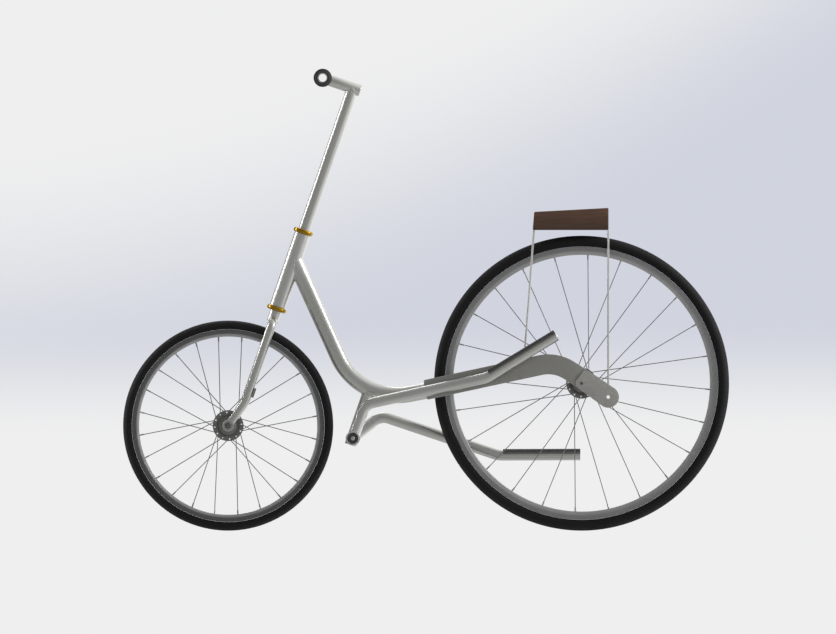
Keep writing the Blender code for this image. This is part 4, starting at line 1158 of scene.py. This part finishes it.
def make_pivot_shaft():
    """The cross tube, the bolt through it and the caps that hold the levers on."""
    place = Matrix.Translation(PIVOT)
    mesh, _ = tube(cross_line(PIVOT_TUBE_END), PIVOT_TUBE_R, PIVOT_BOLT_R + GAP, (1.0, 0.0, 0.0))
    add_piece("pivot_cross_tube", mesh, "pivot_tube", "dark_steel", place)
    r, tip = PIVOT_BOLT_R, PIVOT_BOLT_END
    half = [(tip - 0.0010, r), (tip - 0.0004, r - 0.0004), (tip, r - 0.0012)]
    bolt = spindle(bmesh.new(), whole_axle(half))
    add_piece("pivot_through_bolt", bolt, "pivot_bolt", "bright_steel", place)
    near, far = PIVOT_CAP_Y
    bore, rim = PIVOT_BOLT_R + GAP, PIVOT_CAP_R
    profile = [(bore, near), (rim, near), (rim, far - 0.0008), (rim - 0.0008, far), (0.0086, far),
               (0.0080, far - 0.0004), (0.0068, far - 0.0004), (0.0062, far), (bore, far)]
    for side_name, side in SIDES.items():
        add_piece(f"{side_name}_pivot_cap_disc", turned(facing(side, profile), steps=64),
                  f"{side_name}_pivot_cap", "black_steel", place)


def eased_path(path, ease):
    """A path with one more point just inside each end."""
    first, last = travel(path)
    return [path[0], path[0] + first * ease] + path[1:-1] + [path[-1] - last * ease, path[-1]]


def soft_bar(mesh, path, width, tall, corner, ease=0.0010):
    """A solid bar of rounded box section with eased ends."""
    points = eased_path(path, ease)
    insets = [ease * 0.8] + [0.0] * (len(points) - 2) + [ease * 0.8]
    sections = [soft_rectangle(width - 2 * inset, tall - 2 * inset, corner) for inset in insets]
    return solid_of_rings(mesh, place_rings(points, sections, (0.0, 1.0, 0.0)))


def make_arms():
    """The two bent bars, their dropout plates and bolts, and the plate that joins the bars."""
    for side_name, side in SIDES.items():
        path = bent_path([(x, side * ARM_Y, z) for x, z in ARM_CORNERS], [ARM_BEND_R])
        bar = soft_bar(bmesh.new(), path, ARM_THICKNESS, ARM_HEIGHT, 0.0016)
        add_piece(f"{side_name}_arm_bar", bar, f"{side_name}_arm", "arm_paint")
        make_dropout(side_name, side)
        tip = reach(f"{side_name}_axle_bolt")[1]
        stations = [(side * DROPOUT_Y[0], AXLE_BOLT_R), (side * (tip - 0.0004), AXLE_BOLT_R),
                    (side * tip, AXLE_BOLT_R - 0.0004)]
        add_piece(f"{side_name}_axle_screw", spindle(bmesh.new(), stations), f"{side_name}_axle_bolt",
                  "dark_steel", Matrix.Translation(REAR_HUB))
    make_yoke()


def make_yoke():
    """The plate between the bars, welded to them and to the main tube's end."""
    along, across = Vector((cos(ARM_RISE), 0.0, sin(ARM_RISE))), Vector((0.0, 1.0, 0.0))
    up = along.cross(across)
    start = Vector((ARM_CORNERS[0][0], 0.0, ARM_CORNERS[0][1])) + along * YOKE_GAP
    faces = [start, start + along * YOKE_THICKNESS]
    width, tall = 2 * (ARM_Y - ARM_THICKNESS / 2 - GAP), ARM_HEIGHT - 2 * YOKE_MARGIN
    mesh = soft_bar(bmesh.new(), faces, width, tall, 0.0010, ease=0.0006)
    tube_end = main_tube_path()[-1]
    weld(mesh, [tube_end + across * s + up * u for s, u in circle(MAIN_TUBE_R, 96)], 0.0011)
    for side in SIDES.values():
        inner = side * (ARM_Y - ARM_THICKNESS / 2)
        for face in faces:
            low, high = (face + across * inner + up * tall * part for part in (-0.48, 0.48))
            straight_weld(mesh, low, high, along)
    add_piece("yoke_cross_plate", mesh, "yoke_plate", "arm_paint")


def straight_weld(mesh, start, end, side, radius=0.0016):
    """A rippled fillet of weld along a straight corner."""
    length = (end - start).length
    count = max(8, round(length / WELD_SPACING))
    path, sections = [], []
    for i in range(count + 1):
        taper = min(1.0, 4.0 * min(i, count - i) / count + 0.25)
        size = radius * taper * (1.0 + WELD_SWELL * sin(2 * pi * length / WELD_RIPPLE * i / count))
        path.append(start.lerp(end, i / count))
        sections.append(circle(size, WELD_SIDES))
    solid_of_rings(mesh, place_rings(path, sections, side))


def arc_points(centre, radius, start, end, steps):
    """(x, z) points of an arc, angles in degrees from +X towards +Z."""
    angles = [radians(start + (end - start) * i / steps) for i in range(steps + 1)]
    return [(centre[0] + radius * cos(a), centre[1] + radius * sin(a)) for a in angles]


def dropout_outline():
    """Outline of a dropout plate: a strip round the axle that ends in a round eye."""
    outline = [(0.3706, 0.3765)]
    outline += arc_points((REAR_HUB.x, REAR_HUB.z), DROPOUT_NOSE_R, 155.0, 235.0, 16)
    outline += [(0.3699, 0.3246), (0.3824, 0.3153)]
    outline += arc_points(HANGER_HOLE, DROPOUT_END_R, -128.0, 62.0, 48)
    outline += [(0.4200, 0.3490), (0.4060, 0.3575), (0.3960, 0.3640)]
    return outline


def plate_with_holes(outline, holes, y_from, y_to, ease):
    """A flat plate in the XZ plane with eased edges and round holes of (x, z, radius)."""
    shape = bpy.data.curves.new("plate", "CURVE")
    shape.dimensions = "2D"
    shape.fill_mode = "BOTH"
    shape.extrude = abs(y_to - y_from) / 2 - ease
    shape.bevel_depth = ease
    shape.bevel_resolution = 2
    shape.offset = -ease
    loops = [outline] + [[(x + a, z + b) for a, b in circle(radius, 48)] for x, z, radius in holes]
    for loop in loops:
        spline = shape.splines.new("POLY")
        spline.points.add(len(loop) - 1)
        for point, (x, z) in zip(spline.points, loop):
            point.co = (x, z, 0.0, 1.0)
        spline.use_cyclic_u = True
    holder = bpy.data.objects.new("plate", shape)
    bpy.context.scene.collection.objects.link(holder)
    flat = bpy.data.meshes.new_from_object(holder.evaluated_get(bpy.context.evaluated_depsgraph_get()))
    bpy.data.objects.remove(holder)
    mesh = bmesh.new()
    mesh.from_mesh(flat)
    bmesh.ops.remove_doubles(mesh, verts=mesh.verts, dist=0.000001)
    bmesh.ops.rotate(mesh, verts=mesh.verts, matrix=Matrix.Rotation(pi / 2, 3, "X"))
    bmesh.ops.translate(mesh, verts=mesh.verts, vec=(0.0, (y_from + y_to) / 2, 0.0))
    return mesh


def make_dropout(side_name, side):
    """A dropout plate with its bolt hole and its empty hanger hole, both countersunk."""
    holes = [(REAR_HUB.x, REAR_HUB.z, AXLE_BOLT_R + GAP), (*HANGER_HOLE, HANGER_HOLE_R)]
    mesh = plate_with_holes(dropout_outline(), holes, side * DROPOUT_Y[0], side * DROPOUT_Y[1], 0.0007)
    add_piece(f"{side_name}_dropout_plate", mesh, f"{side_name}_dropout", "plate_paint")


# ---- treadles ----------------------------------------------------------------------------------
def make_treadle(side_name):
    """A bent foot lever with its hub and its rubber strip."""
    side = SIDES[side_name]
    lean = 0.0 if side_name == "left" else LEVER_SWING
    place = Matrix.Translation(PIVOT) @ Matrix.Rotation(lean, 4, "Y")
    corners = [Vector((0.0, side * LEVER_Y, 0.0))]
    for length, rise in LEVER_SECTIONS:
        step = Vector((cos(radians(rise)), 0.0, sin(radians(rise)))) * length
        corners.append(corners[-1] + step)
    first = (corners[1] - corners[0]).normalized()
    path = bent_path([corners[0] + first * 0.004] + corners[1:], LEVER_BEND_RADII)
    mesh, ends = tube(path, LEVER_R, LEVER_BORE_R, start_on=(cross_line(0.2), LEVER_HUB_R))
    weld(mesh, ends[0], 0.0011)
    add_piece(f"{side_name}_lever_tube", mesh, f"{side_name}_lever", place=place)
    near, far = LEVER_HUB_Y
    hub = [Vector((0.0, side * near, 0.0)), Vector((0.0, side * far, 0.0))]
    mesh, _ = tube(hub, LEVER_HUB_R, LEVER_HUB_BORE_R, (1.0, 0.0, 0.0))
    add_piece(f"{side_name}_lever_hub_tube", mesh, f"{side_name}_lever_hub", place=place)
    make_foot_strip(side_name, corners, place)


def strip_stations():
    """(distance from the lever's end, share of full thickness) along a ribbed foot strip."""
    length = FOOT_STRIP_LENGTH
    ribs = int(length / FOOT_RIB_PITCH)
    stations = [(0.0, 0.45), (0.0008, 0.85)]
    for i in range(ribs):
        y = 0.0015 + i * (length - 0.003) / ribs
        stations += [(y, 1.0), (y + 0.0022, 1.0), (y + 0.0026, 0.72), (y + 0.0036, 0.72)]
    return stations + [(length - 0.0008, 0.85), (length, 0.45)]


def strip_section(share):
    """An arch over the lever's tube, thinner towards its two rims."""
    inner, half_angle = LEVER_R + 0.00005, FOOT_STRIP_HALF_ANGLE
    angles = [half_angle * (2 * i / 24 - 1) for i in range(25)]
    section = []
    for a in angles:
        full = min(1.0, 6.0 * (1.0 - abs(a) / half_angle) + 0.4)
        outer = inner + GAP + FOOT_STRIP_THICKNESS * share * full
        section.append((outer * sin(a), outer * cos(a)))
    return section + [(inner * sin(a), inner * cos(a)) for a in reversed(angles)]


def make_foot_strip(side_name, corners, place):
    """A thin rubber strip over the foot section, ribbed across and thinner at its rims."""
    end = corners[-1]
    along = (end - corners[-2]).normalized()
    stations = strip_stations()[::-1]
    path = [end - along * away for away, _ in stations]
    sections = [strip_section(share) for _, share in stations]
    mesh = solid_of_rings(bmesh.new(), place_rings(path, sections, (0.0, 1.0, 0.0)))
    add_piece(f"{side_name}_foot_rubber", mesh, f"{side_name}_foot_strip", "foot_rubber", place)


# ---- seat --------------------------------------------------------------------------------------
def make_seat():
    """The wooden block with eased edges, and the four wire stays under it."""
    mesh = bmesh.new()
    face = mesh.faces.new([mesh.verts.new((x, -SEAT_HALF_WIDTH, z)) for x, z in SEAT_OUTLINE])
    walls = bmesh.ops.extrude_face_region(mesh, geom=[face])["geom"]
    moved = [item for item in walls if isinstance(item, bmesh.types.BMVert)]
    bmesh.ops.translate(mesh, verts=moved, vec=(0.0, 2 * SEAT_HALF_WIDTH, 0.0))
    middle = Vector((sum(x for x, _ in SEAT_OUTLINE) / 4, 0.0, sum(z for _, z in SEAT_OUTLINE) / 4))
    bmesh.ops.translate(mesh, verts=mesh.verts, vec=-middle)
    add_piece("seat_wood_block", mesh, "seat_block", "wood", Matrix.Translation(middle), bevel=0.0025)
    for side_name, side in SIDES.items():
        offset = Vector((0.0, side * FRONT_STAY_Y, 0.0))
        front = bent_path([Vector((x, 0.0, z)) + offset for x, z in FRONT_STAY], [0.060])
        rear = [Vector((REAR_STAY_X, side * REAR_STAY_Y, z)) for z in REAR_STAY_Z]
        for name, path in (("front_stay", front), ("rear_stay", rear)):
            node = f"{side_name}_{name}"
            add_piece(f"{node}_wire", soft_wire(path), node, "stay_steel")


def soft_wire(path):
    """A round wire with eased ends."""
    points = eased_path(path, WIRE_EASE)
    radii = [STAY_R - WIRE_EASE] + [STAY_R] * (len(points) - 2) + [STAY_R - WIRE_EASE]
    sections = [circle(r, WIRE_SIDES) for r in radii]
    return solid_of_rings(bmesh.new(), place_rings(points, sections, (0.0, 1.0, 0.0)))


# ---- stage, light and camera -------------------------------------------------------------------
def direction_share(tree, incoming, direction, near, far, low, high):
    """A brightness that rises from low to high as a ray turns towards a direction."""
    dot = add_node(tree, "VectorMath", {"operation": "DOT_PRODUCT"})
    feed(tree, dot.inputs[0], incoming)
    feed(tree, dot.inputs[1], Vector(direction).normalized())
    scaled = add_node(tree, "MapRange", {"interpolation_type": "SMOOTHSTEP"}, Value=dot.outputs["Value"],
                      From_Min=near, From_Max=far, To_Min=low, To_Max=high)
    return scaled.outputs["Result"]


def make_world():
    """A pale studio: brighter to the right, behind and above, dimmer in front and to the left."""
    world = bpy.data.worlds.new("studio")
    world.use_nodes = True
    bpy.context.scene.world = world
    tree = world.node_tree
    ray = add_node(tree, "TexCoord").outputs["Generated"]
    rear_right = direction_share(tree, ray, (0.80, 0.50, 0.30), -0.10, 0.95, 0.325, 1.25)
    floor_glow = direction_share(tree, ray, (0.15, 0.0, -1.0), -0.1, 1.0, 0.0, 0.30)
    total = maths(tree, "ADD", rear_right, floor_glow)
    lit = add_node(tree, "Background", Color=(1.0, 1.0, 1.0, 1.0), Strength=total)
    feed(tree, tree.nodes["World Output"].inputs["Surface"], lit.outputs["Background"])


def add_light(name, place, aim, size, power, glossy=True):
    """A rectangular studio light that the camera doesn't see; one that isn't glossy leaves no highlight."""
    lamp = bpy.data.lights.new(name, "AREA")
    lamp.shape = "RECTANGLE"
    lamp.size, lamp.size_y = size
    lamp.energy = power
    made = bpy.data.objects.new(name, lamp)
    bpy.context.scene.collection.objects.link(made)
    made.location = place
    made.rotation_euler = (Vector(aim) - Vector(place)).to_track_quat("-Z", "Y").to_euler()
    made.visible_camera = False
    made.visible_glossy = glossy


def stage_plane(name, half_width, half_depth, material):
    """A large flat sheet that isn't part of the object."""
    mesh = bpy.data.meshes.new(name)
    signs = ((-1, -1), (1, -1), (1, 1), (-1, 1))
    corners = [(half_width * across, half_depth * along, 0.0) for across, along in signs]
    mesh.from_pydata(corners, [], [(0, 1, 2, 3)])
    made = bpy.data.objects.new(name, mesh)
    bpy.context.scene.collection.objects.link(made)
    mesh.materials.append(material)
    made.visible_glossy = False
    return made


def backdrop_material():
    """A pale sheet with a soft bluish band that rises from the lower left to the upper right."""
    made = bpy.data.materials.new("pale_backdrop")
    made.use_nodes = True
    tree = made.node_tree
    tree.nodes.remove(tree.nodes["Principled BSDF"])
    flat = add_node(tree, "SeparateXYZ", Vector=own_place(tree))
    bow = share_between(tree, flat.outputs["X"], -1.4, 1.4, clamp=False)
    rise = maths(tree, "MULTIPLY_ADD", maths(tree, "MULTIPLY", bow, bow), 1.176, 0.146)
    above_curve = maths(tree, "SUBTRACT", flat.outputs["Y"], rise)
    smooth = {"interpolation_type": "SMOOTHSTEP"}
    above_floor = share_between(tree, flat.outputs["Y"], -0.29, 0.0, **smooth)
    below_sky = share_between(tree, above_curve, 0.25, -0.40, **smooth)
    band = maths(tree, "MULTIPLY", above_floor, below_sky)
    tone = mix(tree, band, (0.863, 0.863, 0.866), (0.635, 0.658, 0.735))
    glow = add_node(tree, "Emission", Color=tone, Strength=1.0)
    feed(tree, tree.nodes["Material Output"].inputs["Surface"], glow.outputs["Emission"])
    return made


def make_sheets():
    """Pale floor and backdrop, neither of which shows in the object's reflections."""
    floor_paint = finish("pale_floor", (0.80, 0.80, 0.80), 0.80, 0.0, spread=0.01, blotch=2.0, grain=200.0)
    floor = stage_plane("studio_floor", 6.0, 6.0, floor_paint)
    floor.location = (0.0, 0.0, -0.0004)
    backdrop = stage_plane("studio_backdrop", 6.0, 4.5, backdrop_material())
    backdrop.location = (0.0, 5.9, 0.5)
    backdrop.rotation_euler = (pi / 2, 0.0, 0.0)
    backdrop.visible_diffuse = False


def make_lights():
    """Soft lights on the left, the right, behind and in front."""
    add_light("left_strip", (-3.0, 0.48, 1.5), (0.0, 0.0, 0.5), (0.32, 2.6), 46.0)
    add_light("right_soft", (3.2, -0.3, 1.9), (0.0, 0.0, 0.5), (1.0, 1.0), 50.0)
    add_light("rear_top", (-0.6, 2.6, 3.0), (0.0, 0.0, 0.5), (2.0, 0.6), 20.0)
    add_light("front_fill", (0.5, -5.0, 1.6), (0.0, 0.0, 0.45), (4.0, 3.0), 60.0, glossy=False)


def make_camera():
    """A straight side view without perspective."""
    eye = bpy.data.cameras.new("side_view")
    eye.type = "ORTHO"
    eye.ortho_scale = 1.961
    camera = bpy.data.objects.new("side_view", eye)
    bpy.context.scene.collection.objects.link(camera)
    camera.location = (-0.0190, -4.0, 0.5013)
    camera.rotation_euler = (pi / 2, 0.0, 0.0)
    bpy.context.scene.camera = camera
    bpy.context.scene.view_settings.view_transform = "Standard"


def dress_kept_nodes():
    """Gives each CAD node that still shows its finish."""
    for name, node in frame["nodes"].items():
        if not node.hide_render:
            node.data.materials.clear()
            node.data.materials.append(FINISHES[SLOT_OF[name]])


for wheel_name, wheel_sizes in WHEELS.items():
    make_wheel(wheel_name, wheel_sizes)
make_axles()
make_head()
make_stem()
make_fork()
make_main_tube()
make_pivot_post()
make_pivot_shaft()
make_arms()
for treadle_side in SIDES:
    make_treadle(treadle_side)
make_seat()
dress_kept_nodes()
make_world()
make_sheets()
make_lights()
make_camera()
